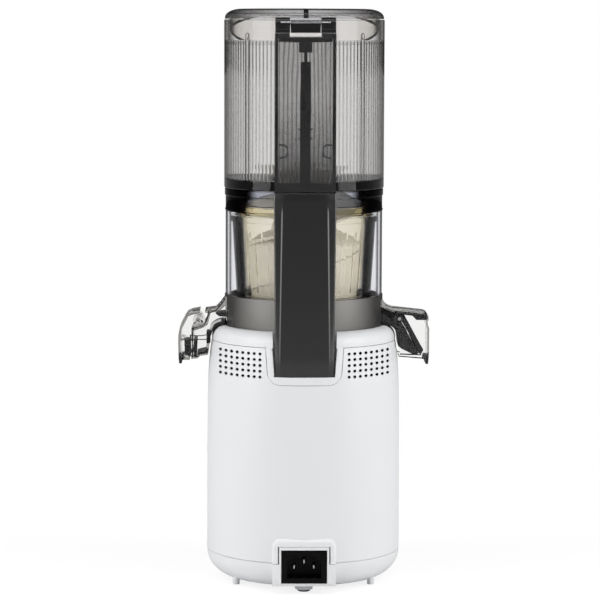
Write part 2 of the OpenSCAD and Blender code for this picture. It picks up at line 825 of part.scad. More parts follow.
module inner_strainer() {
    color("#d9b86a") difference() {
        rotate_extrude() polygon([
            [hub_out_r + 1, strainer_z - 2], [strainer_foot_r - 0.2, strainer_z - 2],
            [strainer_foot_r, strainer_z], [strainer_top_r, rim_z], [rim_r, rim_z + 2],
            [rim_r, rim_z + 6], [strainer_in(rim_z), rim_z + 6], [strainer_in(rim_z), rim_z],
            [strainer_in(strainer_z), strainer_z], [hub_out_r + 1, strainer_z]
        ]);
        for (i = [0:strainer_slots - 1]) rotate((i + 0.5) * 360 / strainer_slots)
            box([strainer_foot_r - 5, -0.5, strainer_z + 6], [strainer_top_r + 2, 0.5, rim_z - 14]);
        box([-strainer_foot_r + 4, -7, strainer_z - 3], [-hub_out_r - 6, 7, strainer_z + 0.5]);
    }
}

module outer_strainer() {
    foot_z = strainer_z + 1;
    flange_r = bowl_in_r - 0.6;
    color("#6b6358") difference() {
        rotate_extrude() polygon([
            [strainer_foot_r + 0.8, foot_z], [bowl_r - 8, foot_z],
            [bowl_r - 4.7, rim_z - 4], [flange_r, rim_z - 4],
            [flange_r, rim_z], [bowl_r - 6.4, rim_z],
            [bowl_r - 9.6, foot_z + 1.8], [strainer_foot_r + 0.8, foot_z + 1.8]
        ]);
        for (a = [18:36:342]) rotate(a)
            box([bowl_r - 12, -3, foot_z + 8], [bowl_r, 3, rim_z - 10]);
    }
}

// ---------- Juice spout with its drip cap (+X) ----------

// Both spouts run down beside the shoulder of the base, clear of it
spout_clear = 1;
spout_arc_r = shoulder_r + spout_clear;
spout_foot_z = deck_z - 17.9;
spout_inner_x = body_rad(spout_foot_z) + 1.1;
nozzle_foot_z = deck_z - 20.9;
nozzle_top_z = deck_z - 6.5;
mouth_x = bowl_r + 24.4;

module spout_outside() {
    polygon(concat(
        [[bowl_r - 1, shoulder_axis_z + spout_arc_r]],
        arc(seat_r, shoulder_axis_z, spout_arc_r, spout_arc_r, 88, 0, 8),
        [[spout_inner_x, spout_foot_z], [bowl_r + 18, spout_foot_z - 0.8],
         [bowl_r + 20, nozzle_foot_z + 0.4], [mouth_x, nozzle_foot_z],
         [mouth_x, deck_z + 1], [bowl_r + 23.4, deck_z + 1.7], [bowl_r + 16.3, deck_z + 3.1],
         [bowl_r + 14.4, deck_z + 4.7], [bowl_r + 13.6, deck_z + 7], [bowl_r + 12.6, deck_z + 12],
         [bowl_r + 14.5, deck_z + 12.4], [bowl_r + 14.5, deck_z + 13.8],
         [bowl_r + 12.2, deck_z + 14], [bowl_r + 7.6, deck_z + 14.7], [bowl_r + 4.2, deck_z + 16.2],
         [bowl_r + 2, deck_z + 18.8], [bowl_r + 0.9, deck_z + 22], [bowl_r - 1, deck_z + 24.8]]
    ));
}

module spout_inside() {
    r = spout_arc_r + spout_wall;
    polygon(concat(
        [[bowl_r - 1, shoulder_axis_z + r]],
        arc(seat_r, shoulder_axis_z, r, r, 88, 0, 8),
        [[spout_inner_x + spout_wall, spout_foot_z + spout_wall],
         [bowl_r + 18.8, spout_foot_z - 0.8 + spout_wall],
         [bowl_r + 20.6, nozzle_foot_z + spout_wall + 0.2],
         [mouth_x - spout_wall, nozzle_foot_z + spout_wall],
         [mouth_x - spout_wall, deck_z + 1 - spout_wall],
         [bowl_r + 16, deck_z + 3.1 - spout_wall], [bowl_r + 12.8, deck_z + 3.6],
         [bowl_r + 11.9, deck_z + 6], [bowl_r + 10.7, deck_z + 12], [bowl_r + 7, deck_z + 12.8],
         [bowl_r + 3.4, deck_z + 14.2], [bowl_r - 1, deck_z + 18]]
    ));
}

module juice_spout() {
    w = spout_w / 2;
    color("#6a6a6e", 0.6) difference() {
        union() {
            plate_y(-w, w) spout_outside();
            for (y = [-w, w - 4.5]) plate_y(y, y + 4.5) union() {
                translate(cap_pivot) circle(3.6);
                polygon([cap_pivot + [-3.5, 0], cap_pivot + [3.5, 0],
                    [cap_pivot[0] + 3.5, deck_z], [cap_pivot[0] - 3.5, deck_z]]);
            }
        }
        plate_y(-w + spout_wall, w - spout_wall) spout_inside();
        box([mouth_x - 3, -w + 4, nozzle_foot_z + spout_wall],
            [mouth_x + 1, w - 4, nozzle_top_z - spout_wall]);
        bar_y(cap_pin_r, cap_pivot[0], cap_pivot[1], -w - 1, w + 1);
        bar_z(bowl_base_r, 0, 0, 0, bowl_top_z);
    }
}

cap_pin_r = 1.3;
ear_gap = 0.4;
ear_t = 1.6;

module cap_pin() {
    reach = spout_w / 2 + ear_gap + ear_t + 0.6;
    color("dimgray") bar_y(cap_pin_r, cap_pivot[0], cap_pivot[1], -reach, reach);
}

module spout_packing() {
    x0 = spout_inner_x + spout_wall + 0.1;
    color("#1c1c1e") for (z = [deck_z - 9.6, deck_z - 5.2]) box([x0, -7, z], [x0 + 2.6, 7, z + 3.8]);
}

// Outside of the cap's shell in the XZ plane: over the top, down the front and back under the mouth
module cap_outside() {
    polygon([
        [cap_pivot[0] - 1.3, deck_z + 13.9], [bowl_r + 24.5, deck_z + 12.6],
        [bowl_r + 27.2, deck_z + 11.4], [tip_r - 4.6, deck_z + 8.6], [tip_r - 1.2, deck_z + 2],
        [tip_r - 0.2, deck_z - 3], [tip_r, deck_z - 9], [tip_r - 0.3, nozzle_foot_z + 0.3],
        [tip_r - 0.8, lip_z], [tip_r - 2.2, lip_z], [tip_r - 2.6, nozzle_foot_z - 0.4],
        [mouth_x + 0.9, nozzle_foot_z - 0.4], [mouth_x + 0.9, deck_z + 2.2],
        [cap_pivot[0] - 1.3, deck_z + 7.8]
    ]);
}

module cap_inside() {
    polygon([
        [cap_pivot[0] - 3, deck_z + 12.4], [bowl_r + 24, deck_z + 11],
        [bowl_r + 26.4, deck_z + 9.9], [tip_r - 6, deck_z + 7.6], [tip_r - 2.9, deck_z + 1.6],
        [tip_r - 1.8, deck_z - 3], [tip_r - 1.6, deck_z - 9], [tip_r - 1.9, nozzle_foot_z + 1.2],
        [mouth_x - 1, nozzle_foot_z + 1.2], [cap_pivot[0] - 3, deck_z]
    ]);
}

module juice_cap() {
    w = spout_w / 2 + ear_gap;
    color("#77777b", 0.6) difference() {
        union() {
            plate_y(-w - ear_t, w + ear_t) cap_outside();
            for (y = [-w - ear_t, w]) plate_y(y, y + ear_t) translate(cap_pivot) circle(5.2);
        }
        difference() {
            plate_y(-w, w) cap_inside();
            plug_holder();
        }
        bar_y(cap_pin_r + running_gap, cap_pivot[0], cap_pivot[1], -w - 5, w + 5);
    }
}

// Rib across the cap that holds the plug against the mouth
module plug_holder() {
    box([mouth_x + 5, -spout_w, nozzle_top_z - 1], [tip_r, spout_w, nozzle_top_z + 0.5]);
}

module cap_seal() {
    w = spout_w / 2 - 1.6;
    color("#2b2b2d") union() {
        box([mouth_x + 0.4, -w, nozzle_foot_z + 1.5], [mouth_x + 2, w, nozzle_top_z]);
        box([mouth_x + 1.5, -w + 2, nozzle_foot_z + 2.6], [mouth_x + 5, w - 2, nozzle_top_z - 0.8]);
    }
}

// ---------- Pulp outlet with its sprung flap (-X) ----------

pulp_wall = 1.3;
flap_pin_r = 1.2;
flap_barrel_r = 2.6;
chute_half_w = spout_w / 2 - pulp_wall - 0.1;

// Direction along the flap from its pivot, and across it towards the outside
flap_along = [0.48, -0.877];
flap_across = [0.877, 0.48];

function on_flap(along, across) = flap_pivot + flap_along * along + flap_across * across;

// A plate in the XZ plane on the -X side, drawn with distances from the drive axis as positive
module plate_pulp(y0, y1) {
    mirror([1, 0, 0]) plate_y(y0, y1) children();
}

module pulp_cover() {
    w = spout_w / 2;
    color("#8a8a8e", 0.6) difference() {
        plate_pulp(-w, w) polygon([
            [bowl_r - 1, deck_z + 24], [bowl_r + 1.2, deck_z + 20], [bowl_r + 2.4, deck_z + 17.8],
            [bowl_r + 4.2, deck_z + 16.2], [bowl_r + 8, deck_z + 14.8], [bowl_r + 15, deck_z + 14.1],
            [tip_r - 3.2, deck_z + 12.4], [tip_r - 1.5, deck_z + 11.6], [tip_r - 0.6, deck_z + 10.2],
            [tip_r - 0.4, deck_z + 7], [tip_r - 1.2, deck_z + 6.8], [tip_r - 1, deck_z + 4.2],
            [tip_r, deck_z + 1.5], [tip_r, deck_z - 18], [tip_r - 0.7, lip_z - 0.4],
            [tip_r - 1.9, lip_z - 0.4], [tip_r - 2.4, lip_z + 3], [spout_inner_x + 0.2, lip_z + 4.9],
            [spout_inner_x, deck_z - 10], [seat_r + 10.9, shoulder_axis_z],
            [seat_r + 9.6, shoulder_axis_z + 5.8], [seat_r + 5, shoulder_axis_z + 10.3],
            [bowl_r - 1, shoulder_axis_z + 11.4]
        ]);
        plate_pulp(-w + pulp_wall, w - pulp_wall) polygon([
            [bowl_r - 2, deck_z + 17.6], [bowl_r + 4.4, deck_z + 14.8], [bowl_r + 8.2, deck_z + 13.4],
            [bowl_r + 15, deck_z + 12.7], [tip_r - 3.6, deck_z + 11], [tip_r - 2.2, deck_z + 9.6],
            [tip_r - 2.3, deck_z + 4], [tip_r - pulp_wall, deck_z + 1.2],
            [tip_r - pulp_wall, deck_z - 18], [tip_r - pulp_wall - 0.6, lip_z - 1],
            [tip_r - pulp_wall - 1, lip_z - 4], [bowl_r - 2, lip_z - 4]
        ]);
        bar_z(bowl_base_r, 0, 0, 0, bowl_top_z);
        bar_y(flap_pin_r, -flap_pivot[0], flap_pivot[1], -w - 1, w + 1);
    }
}

module pulp_chute() {
    color("#1c1c1e") difference() {
        plate_pulp(-chute_half_w, chute_half_w) polygon(concat(
            [[bowl_r - 1, shoulder_axis_z + spout_arc_r]],
            arc(seat_r, shoulder_axis_z, spout_arc_r, spout_arc_r, 88, 0, 6),
            [[body_rad(deck_z - 11.6) + 1.1, deck_z - 11.6], [bowl_r + 14.5, deck_z - 13.7],
             [bowl_r + 19.1, deck_z - 15.9], [bowl_r + 23.7, deck_z - 18], on_flap(28.5, 0.3),
             on_flap(2.6, 0.3), [bowl_r + 15.2, deck_z + 9.6], [bowl_r + 13.5, deck_z + 11.4],
             [bowl_r + 8, deck_z + 12.8], [bowl_r + 4, deck_z + 14.2], [bowl_r - 1, deck_z + 16.8]]
        ));
        plate_pulp(-chute_half_w + 1.3, chute_half_w - 1.3) polygon(concat(
            [[bowl_r - 1, shoulder_axis_z + spout_arc_r + 1.5]],
            arc(seat_r, shoulder_axis_z, spout_arc_r + 1.5, spout_arc_r + 1.5, 88, 0, 6),
            [[body_rad(deck_z - 11.6) + 2.9, deck_z - 10.8], [bowl_r + 15.2, deck_z - 12.1],
             [bowl_r + 19.8, deck_z - 14.3], [bowl_r + 24.4, deck_z - 16.4], [tip_r, deck_z - 16.4],
             [tip_r, deck_z + 20], [bowl_r + 9, deck_z + 20], [bowl_r + 9, deck_z + 10.8],
             [bowl_r + 4, deck_z + 12.2], [bowl_r - 1, deck_z + 14]]
        ));
        bar_z(bowl_base_r, 0, 0, 0, bowl_top_z);
        bar_y(flap_pin_r, -flap_pivot[0], flap_pivot[1], -spout_w, spout_w);
    }
}

module flap_pin() {
    w = spout_w / 2;
    color("silver") bar_y(flap_pin_r, -flap_pivot[0], flap_pivot[1], -w, w);
}

module pulp_flap() {
    w = chute_half_w - 1.7;
    color("#151517") difference() {
        union() {
            plate_pulp(-w, w) polygon([
                on_flap(-0.4, 0.6), on_flap(-0.4, 4.4), on_flap(28.2, 4.4),
                on_flap(30, 1.9), on_flap(30, 0.9)
            ]);
            bar_y(flap_barrel_r, -flap_pivot[0], flap_pivot[1], -w, w);
        }
        bar_y(flap_pin_r + running_gap, -flap_pivot[0], flap_pivot[1], -w - 1, w + 1);
    }
}

// ---------- Auger ----------

core_top_z = hopper_z + 18;
core_top_r = 8;

// The core is a wide drum along the lower part of the strainer, then a round shoulder and a slim neck
flight_depth = 1.4;
drum_top_z = strainer_z + 38;
drum_shoulder_h = 11;
cone_z = drum_top_z + drum_shoulder_h;
cone_r = 24;
function drum_r(z) = strainer_in(z) - auger_gap - flight_depth;

// Radius of the auger's core at a height
function core_r(z) =
    z <= drum_top_z ? drum_r(z)
    : z < cone_z ? drum_r(drum_top_z)
        - (drum_r(drum_top_z) - cone_r) * pow((z - drum_top_z) / drum_shoulder_h, 2)
    : cone_r - (cone_r - core_top_r) * (z - cone_z) / (core_top_z - cone_z);

module auger_core() {
    disc_z = strainer_z + 0.8;
    color("#c9c6bd") difference() {
        rotate_extrude() polygon(concat(
            [[0, deck_z + 6], [neck_r, deck_z + 6], [neck_r, disc_z],
             [strainer_in(disc_z) - auger_gap, disc_z],
             [strainer_in(disc_z) - auger_gap, disc_z + 2.4], [core_r(disc_z + 3), disc_z + 3]],
            [for (i = [0:8]) let (z = drum_top_z + drum_shoulder_h * i / 8) [core_r(z), z]],
            [[core_top_r, core_top_z], [0, core_top_z + 3]]
        ));
        translate([0, 0, deck_z + 5])
            cylinder(r = hex_af / 2 / cos(30) + 0.1, h = shaft_top_z - deck_z - 3.5, $fn = 6);
    }
}

flight_foot_z = strainer_z + 5.6;
flight_top_z = core_top_z - 3;
flight_steps = 60;
flight_turn = 520;
flight_t = 3;
flight_root_gap = 0.35;

// Outer radius of the flights: close to the strainer, then narrow enough for the feed opening
function flight_r(z) = z < rim_z ? strainer_in(z) - auger_gap
    : max(core_r(z) + 2, strainer_in(rim_z) - auger_gap
        - (strainer_in(rim_z) - feed_r + 1) * (z - rim_z) / (hopper_z - rim_z - 4));

function flight_ring(i) =
    let (u = i / flight_steps, z = flight_foot_z + (flight_top_z - flight_foot_z) * u,
        a = flight_turn * u, t = flight_t * (1 - 0.6 * u) / 2)
    [for (c = [[0, -1], [1, -1], [1, 1], [0, 1]])
        let (h = z + c[1] * t, r = c[0] == 0 ? core_r(h) + flight_root_gap : flight_r(h))
        [r * cos(a), r * sin(a), h]];

module flight() {
    n = flight_steps;
    points = [for (i = [0:n], p = flight_ring(i)) p];
    sides = [for (i = [0:n - 1], k = [0:3], f = [0, 1])
        let (a = 4 * i + k, b = 4 * i + (k + 1) % 4)
        f == 0 ? [a, a + 4, b] : [b, a + 4, b + 4]];
    polyhedron(points, concat([[0, 1, 2], [0, 2, 3]], sides,
        [[4 * n + 2, 4 * n + 1, 4 * n], [4 * n + 3, 4 * n + 2, 4 * n]]));
}

module auger_flights() {
    color("#d6d3ca") for (a = [0, 180]) rotate(a) flight();
}

// ---------- Hopper ----------

module hopper_base() {
    spigot_r = bowl_in_r - 0.4;
    spigot_in = spigot_r - 2.2;
    color("#2c2c2e") rotate_extrude() polygon([
        [spigot_in, hopper_z - 12], [spigot_r, hopper_z - 12], [spigot_r, hopper_z],
        [hopper_r, hopper_z], [hopper_r, hopper_wall_z], [hopper_in_r, hopper_wall_z],
        [feed_r, hopper_z + 1.5], [feed_r, hopper_z - 0.5], [spigot_in, hopper_z - 3]
    ]);
}

module hopper() {
    rib_angle = acos(41.5 / hopper_in_r);
    rib_top_z = hopper_top_z - 10.6;
    color("#55555a", 0.5) difference() {
        union() {
            tube(hopper_in_r, hopper_r, hopper_wall_z, hopper_top_z);
            for (a = [rib_angle, 180 - rib_angle]) rotate(a)
                box([hopper_in_r - 1.5, -1, hopper_wall_z], [hopper_in_r + 0.5, 1, rib_top_z]);
        }
        box([-finger_slot, feed_r, finger_z], [finger_slot, hinge_y, lid_z]);
    }
}

module hopper_duct() {
    w = duct_w / 2;
    color("#3a3a3e", 0.7) difference() {
        box([-w, hopper_r - 10, hopper_z + 0.1], [w, duct_y, duct_top_z]);
        box([-w + duct_wall, hopper_r - 12, hopper_z - 1],
            [w - duct_wall, duct_y - duct_wall, duct_top_z + 1]);
        box([-finger_slot, hinge_y, finger_z - 1], [finger_slot, duct_y + 1, duct_top_z + 1]);
        bar_z(hopper_r, 0, 0, 0, lid_top_z);
    }
}

module hinge_bracket() {
    color("#3a3a3e") difference() {
        for (s = [-1, 1]) {
            x0 = s < 0 ? -knuckle_end : knuckle_split + 0.3;
            x1 = x0 + knuckle_end - knuckle_split - 0.3;
            union() {
                bar_x(knuckle_r, hinge_y, hinge_z, x0, x1);
                box([x0, hinge_y - knuckle_r, duct_top_z + 0.1],
                    [x1, hinge_y + knuckle_r, hinge_z]);
                box([x0, hinge_y - knuckle_r, duct_top_z + 0.1], [x1, duct_y, duct_top_z + 2.5]);
            }
        }
        bar_x(hinge_pin_r, hinge_y, hinge_z, -knuckle_end - 1, knuckle_end + 1);
        bar_z(hopper_r, 0, 0, 0, lid_top_z);
    }
}

module hinge_pin() {
    color("silver") bar_x(hinge_pin_r, hinge_y, hinge_z, -knuckle_end, knuckle_end);
}

module push_rod() {
    head_z = hinge_z - 10.7;
    y0 = rod_y - rod_t / 2;
    y1 = rod_y + rod_t / 2;
    head_w = duct_w / 2 - duct_wall - 0.4;
    color("#1b1b1d") union() {
        box([-rod_w / 2, y0, bowl_top_z + 0.5], [rod_w / 2, y1, head_z - 16.5]);
        box([-1.2, y0 + 0.8, head_z - 17], [1.2, y1 - 0.8, head_z - 9]);
        box([-4.7, y0, head_z - 10], [4.7, y1, head_z - 2]);
        box([-head_w, y0 + 0.2, head_z - 3], [head_w, y1, head_z]);
    }
}

// ---------- Lid ----------

// Outline of the finger loop under the lid's hinge, in the XZ plane, with a margin taken off
module finger_outline(margin) {
    r = 3.4 - margin;
    w = knuckle_split - margin;
    foot = finger_z + 0.4 + margin;
    polygon(concat([[w, hinge_z], [-w, hinge_z]],
        arc(-w + r, foot + r, r, r, 180, 270, 5), arc(w - r, foot + r, r, r, 270, 360, 5)));
}

module lid() {
    edge = lid_r - lid_edge_r;
    brim = 1;
    ceiling_z = lid_top_z - lid_wall;
    tongue_top_z = lid_z + 2.4;
    color("#3d3d40") difference() {
        union() {
            rotate_extrude() polygon(concat(
                [[lid_r - lid_wall, lid_z], [lid_r, lid_z]],
                arc(edge, lid_z + brim, lid_edge_r, lid_h - brim, 0, 90, 9),
                [[0, lid_top_z], [0, ceiling_z], [skirt_r - 4, ceiling_z],
                 [skirt_r - skirt_t, skirt_top_z], [skirt_r, skirt_top_z],
                 [lid_r - lid_wall, lid_z + brim]]
            ));
            bar_x(knuckle_r, hinge_y, hinge_z, -knuckle_split, knuckle_split);
            box([-knuckle_split, lid_r - 1.6, lid_z], [knuckle_split, hinge_y + 2, tongue_top_z]);
            box([-knuckle_split, hinge_y - 2, hinge_z], [knuckle_split, hinge_y + 2, tongue_top_z]);
            plate_y(hinge_y + 2, hinge_y + 3.6) difference() {
                finger_outline(0);
                finger_outline(1.8);
            }
        }
        bar_x(hinge_pin_r + running_gap, hinge_y, hinge_z, -knuckle_split - 1, knuckle_split + 1);
    }
}

module lid_liner() {
    skirt_tilt = 8.4;
    color("#48484c") difference() {
        tube(skirt_r - skirt_t, skirt_r, lid_z - 20, skirt_top_z);
        translate([0, skirt_r, lid_z - 1.2]) rotate([skirt_tilt, 0, 0])
            box([-big, -big, -big], [big, big, 0]);
    }
}

body_shell();
shoulder_cover();
bottom_cover();
rubber_feet();
bottom_screws();
mains_inlet();
inlet_pins();
circuit_board();
capacitor();
knob_bezel();
rotary_switch();
selector_knob();
microswitch();
switch_pin();
motor_bracket_low();
motor_bracket_top();
motor_bolts();
motor_bearings();
stator();
windings();
rotor();
motor_shaft();
cooling_fan();
gearbox_housing();
gearbox_cover();
gearbox_screws();
layshaft();
compound_gear();
output_gear();
output_bush();
drive_shaft();
deck_seal();
bowl_base();
bowl();
bowl_handle();
bowl_seal();
outer_strainer();
inner_strainer();
juice_spout();
spout_packing();
cap_pin();
juice_cap();
cap_seal();
pulp_cover();
pulp_chute();
flap_pin();
pulp_flap();
auger_core();
auger_flights();
handle_rod();
hopper_base();
hopper();
hopper_duct();
hinge_bracket();
hinge_pin();
push_rod();
lid();
lid_liner();
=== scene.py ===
"""Looks of a cold press juicer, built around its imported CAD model. Sizes are in millimetres, or in metres
in the studio, and are taken from the CAD nodes wherever a piece fits one of them."""

import json
import math

import bmesh
import bpy
from mathutils import Matrix, Vector


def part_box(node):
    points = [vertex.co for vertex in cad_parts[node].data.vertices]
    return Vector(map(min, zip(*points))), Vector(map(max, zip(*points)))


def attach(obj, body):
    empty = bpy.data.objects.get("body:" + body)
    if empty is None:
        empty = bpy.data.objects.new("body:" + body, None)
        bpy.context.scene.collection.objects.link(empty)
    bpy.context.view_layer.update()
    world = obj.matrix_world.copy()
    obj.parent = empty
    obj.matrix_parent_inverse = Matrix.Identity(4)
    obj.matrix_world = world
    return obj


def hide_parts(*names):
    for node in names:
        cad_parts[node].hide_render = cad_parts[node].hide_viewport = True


MM = 0.001
UP = Vector((0, 0, 1))
SMOOTH_BELOW = 35  # Degrees between two faces
SIDES = (-1, 1)
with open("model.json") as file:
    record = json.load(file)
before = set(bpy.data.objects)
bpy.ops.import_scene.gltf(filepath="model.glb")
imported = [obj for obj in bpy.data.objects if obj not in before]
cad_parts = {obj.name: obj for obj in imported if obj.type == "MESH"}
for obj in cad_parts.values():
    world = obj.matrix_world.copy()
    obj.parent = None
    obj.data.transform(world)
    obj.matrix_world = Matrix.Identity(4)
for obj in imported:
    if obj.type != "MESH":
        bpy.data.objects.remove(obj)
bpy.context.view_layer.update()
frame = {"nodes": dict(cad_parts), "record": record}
scene = bpy.context.scene


def span(node):
    """Lowest and highest corner of a CAD node."""
    low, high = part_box(node)
    return low / MM, high / MM


# ---------- Mesh making ----------


def arc(x, z, radius, start, end, steps):
    """Points along an arc around (x, z), between two angles in degrees."""
    turns = [math.radians(start + (end - start) * k / steps) for k in range(steps + 1)]
    return [(x + radius * math.cos(a), z + radius * math.sin(a)) for a in turns]


def slab(points, low_y, high_y):
    """An outline of (x, z) points made a plate from low_y to high_y."""
    bm = bmesh.new()
    face = bm.faces.new([bm.verts.new((x * MM, low_y * MM, z * MM)) for x, z in points])
    grown = bmesh.ops.extrude_face_region(bm, geom=[face])
    moved = [v for v in grown["geom"] if isinstance(v, bmesh.types.BMVert)]
    bmesh.ops.translate(bm, vec=(0, (high_y - low_y) * MM, 0), verts=moved)
    bmesh.ops.recalc_face_normals(bm, faces=bm.faces)
    return bm


def block(low, high):
    """A box given by its corners."""
    bm = bmesh.new()
    bmesh.ops.create_cube(bm, size=1)
    size = Vector(high) - Vector(low)
    middle = (Vector(high) + Vector(low)) / 2
    bmesh.ops.scale(bm, vec=size * MM, verts=bm.verts)
    bmesh.ops.translate(bm, vec=middle * MM, verts=bm.verts)
    return bm


def block_pair(low, high, axis=0):
    """A box and its mirror image, on both sides of x = 0, or of y = 0 where axis is 1."""
    low_there, high_there = list(low), list(high)
    low_there[axis], high_there[axis] = -high[axis], -low[axis]
    return together(block(low, high), block(low_there, high_there))


def turned(profile, steps=128):
    """A closed outline of (radius, height) points turned once around the Z axis."""
    bm = bmesh.new()
    verts = [bm.verts.new((r * MM, 0, z * MM)) for r, z in profile]
    edges = [bm.edges.new(pair) for pair in zip(verts, verts[1:] + verts[:1])]
    bmesh.ops.spin(bm, geom=verts + edges, cent=(0, 0, 0), axis=(0, 0, 1),
                   angle=math.tau, steps=steps, use_merge=True)
    bmesh.ops.remove_doubles(bm, verts=bm.verts, dist=0.001 * MM)
    bmesh.ops.recalc_face_normals(bm, faces=bm.faces)
    return bm


def rod(radius, start, end, sides=16):
    """A round bar between two points."""
    a, b = Vector(start), Vector(end)
    bm = bmesh.new()
    bmesh.ops.create_cone(bm, cap_ends=True, segments=sides, radius1=radius * MM,
                          radius2=radius * MM, depth=(b - a).length * MM)
    turn = UP.rotation_difference(b - a).to_matrix()
    bmesh.ops.rotate(bm, cent=(0, 0, 0), matrix=turn, verts=bm.verts)
    bmesh.ops.translate(bm, vec=(a + b) / 2 * MM, verts=bm.verts)
    return bm


def lofted(sections, closed=False):
    """A solid through sections of equally many (x, y, z) points each, in the same order."""
    bm = bmesh.new()
    rings = [[bm.verts.new([c * MM for c in point]) for point in section] for section in sections]
    pairs = list(zip(rings, rings[1:]))
    if closed:
        pairs.append((rings[-1], rings[0]))
    else:
        bm.faces.new(rings[0])
        bm.faces.new(rings[-1])
    for near, far in pairs:
        for i in range(len(near)):
            k = (i + 1) % len(near)
            bm.faces.new((near[i], near[k], far[k], far[i]))
    bmesh.ops.recalc_face_normals(bm, faces=bm.faces)
    return bm


def wire(path, radii, sides=8, closed=False):
    """A round wire along (x, y, z) points, with one radius for them all or a list of one for each."""
    if not isinstance(radii, list):
        radii = [radii] * len(path)
    sections = []
    last = len(path) - 1
    for i, (place, radius) in enumerate(zip(path, radii)):
        before = path[i - 1] if i or closed else place
        after = path[(i + 1) % len(path)] if i < last or closed else place
        along = (Vector(after) - Vector(before)).normalized()
        side = along.cross(UP)
        side = side.normalized() if side.length > 0.01 else Vector((1, 0, 0))
        over = side.cross(along)
        sections.append([Vector(place) + radius * (math.cos(a) * side + math.sin(a) * over)
                         for a in (math.tau * k / sides for k in range(sides))])
    return lofted(sections, closed)


def together(*parts):
    """Several meshes as one."""
    whole = parts[0]
    for part in parts[1:]:
        mesh = bpy.data.meshes.new("joined")
        part.to_mesh(mesh)
        whole.from_mesh(mesh)
        part.free()
        bpy.data.meshes.remove(mesh)
    return whole


def as_object(bm, name):
    mesh = bpy.data.meshes.new(name)
    bm.to_mesh(mesh)
    bm.free()
    made = bpy.data.objects.new(name, mesh)
    scene.collection.objects.link(made)
    return made


def cut(bm, cutter):
    """The first mesh with the second taken away from it."""
    base = as_object(bm, "cut_base")
    tool = as_object(cutter, "cut_tool")
    modifier = base.modifiers.new("cut", "BOOLEAN")
    modifier.operation = "DIFFERENCE"
    modifier.object = tool
    modifier.solver = "EXACT"
    result = bmesh.new()
    result.from_object(base, bpy.context.evaluated_depsgraph_get())
    for used in (base, tool):
        mesh = used.data
        bpy.data.objects.remove(used)
        bpy.data.meshes.remove(mesh)
    return result


def cad_copy(node):
    """A merged copy of a CAD node's mesh, with its flat faces made whole."""
    bm = bmesh.new()
    bm.from_mesh(frame["nodes"][node].data)
    bmesh.ops.remove_doubles(bm, verts=bm.verts, dist=0.002 * MM)
    bmesh.ops.dissolve_limit(bm, angle_limit=math.radians(0.3), verts=bm.verts, edges=bm.edges)
    return bm


def round_edges(bm, width, segments=2, sharper_than=32, keep=None):
    """Bevels the edges whose faces meet at more than an angle, in degrees, where keep says so."""
    limit = math.radians(sharper_than)
    edges = [e for e in bm.edges if len(e.link_faces) == 2 and e.calc_face_angle(0) > limit
             and (keep is None or keep((e.verts[0].co + e.verts[1].co) / 2 / MM))]
    bmesh.ops.bevel(bm, geom=edges, offset=width * MM, offset_type="OFFSET", segments=segments,
                    profile=0.5, affect="EDGES", clamp_overlap=True, material=-1)
    return bm


def piece(name, bm, body, slot, replaces=(), finish=None):
    """A finished piece: its mesh, its finish, the CAD body it rides on and the nodes it stands for."""
    bmesh.ops.dissolve_degenerate(bm, dist=0.0005 * MM, edges=bm.edges)
    made = as_object(bm, name)
    made.data.shade_smooth()
    made.data.set_sharp_from_angle(angle=math.radians(SMOOTH_BELOW))
    made.data.materials.clear()
    made.data.materials.append(finish_for(finish or slot))
    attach(made, body)
    if replaces:
        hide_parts(*replaces)


def rounded(name, node, width, body, slot, segments=2, finish=None):
    """A piece that stands for one CAD node and is that node with its edges rounded."""
    piece(name, round_edges(cad_copy(node), width, segments), body, slot, [node], finish)


# ---------- Materials ----------

GRAIN_HEIGHT = 0.2 * MM
LINE_HEIGHT = 0.1 * MM
WHITE = (1, 1, 1, 1)


def feed(tree, node, inputs):
    """Gives each named input of a node its value, or a link from a socket of another node."""
    for label, value in inputs.items():
        if isinstance(value, bpy.types.NodeSocket):
            tree.links.new(value, node.inputs[label])
        else:
            node.inputs[label].default_value = value


def add_node(tree, kind, inputs=None, **settings):
    node = tree.nodes.new(kind)
    for key, value in settings.items():
        setattr(node, key, value)
    feed(tree, node, inputs or {})
    return node


def node_of_type(tree, kind):
    return next(n for n in tree.nodes if n.type == kind)


def object_place(tree):
    return add_node(tree, "ShaderNodeTexCoord").outputs["Object"]


def noise(tree, vector, scale, detail):
    inputs = {"Vector": vector, "Scale": scale, "Detail": detail}
    return add_node(tree, "ShaderNodeTexNoise", inputs).outputs["Fac"]


def blend(tree, amount, first, second):
    inputs = {"Factor": amount, "A": first, "B": second}
    return add_node(tree, "ShaderNodeMix", inputs, data_type="RGBA").outputs["Result"]


def maths(tree, operation, *values):
    return add_node(tree, "ShaderNodeMath", dict(enumerate(values)), operation=operation).outputs[0]


def vector_maths(tree, operation, *values, result="Vector"):
    node = add_node(tree, "ShaderNodeVectorMath", dict(enumerate(values)), operation=operation)
    return node.outputs[result]


def map_range(tree, value, low, high, at_low=0.0, at_high=1.0, curve="SMOOTHSTEP"):
    """A value that runs from at_low to at_high while another runs from low to high."""
    inputs = {"Value": value, "From Min": low, "From Max": high, "To Min": at_low, "To Max": at_high}
    return add_node(tree, "ShaderNodeMapRange", inputs, interpolation_type=curve).outputs["Result"]


def mix_shaders(tree, amount, first, second):
    return add_node(tree, "ShaderNodeMixShader", {0: amount, 1: first, 2: second}).outputs[0]


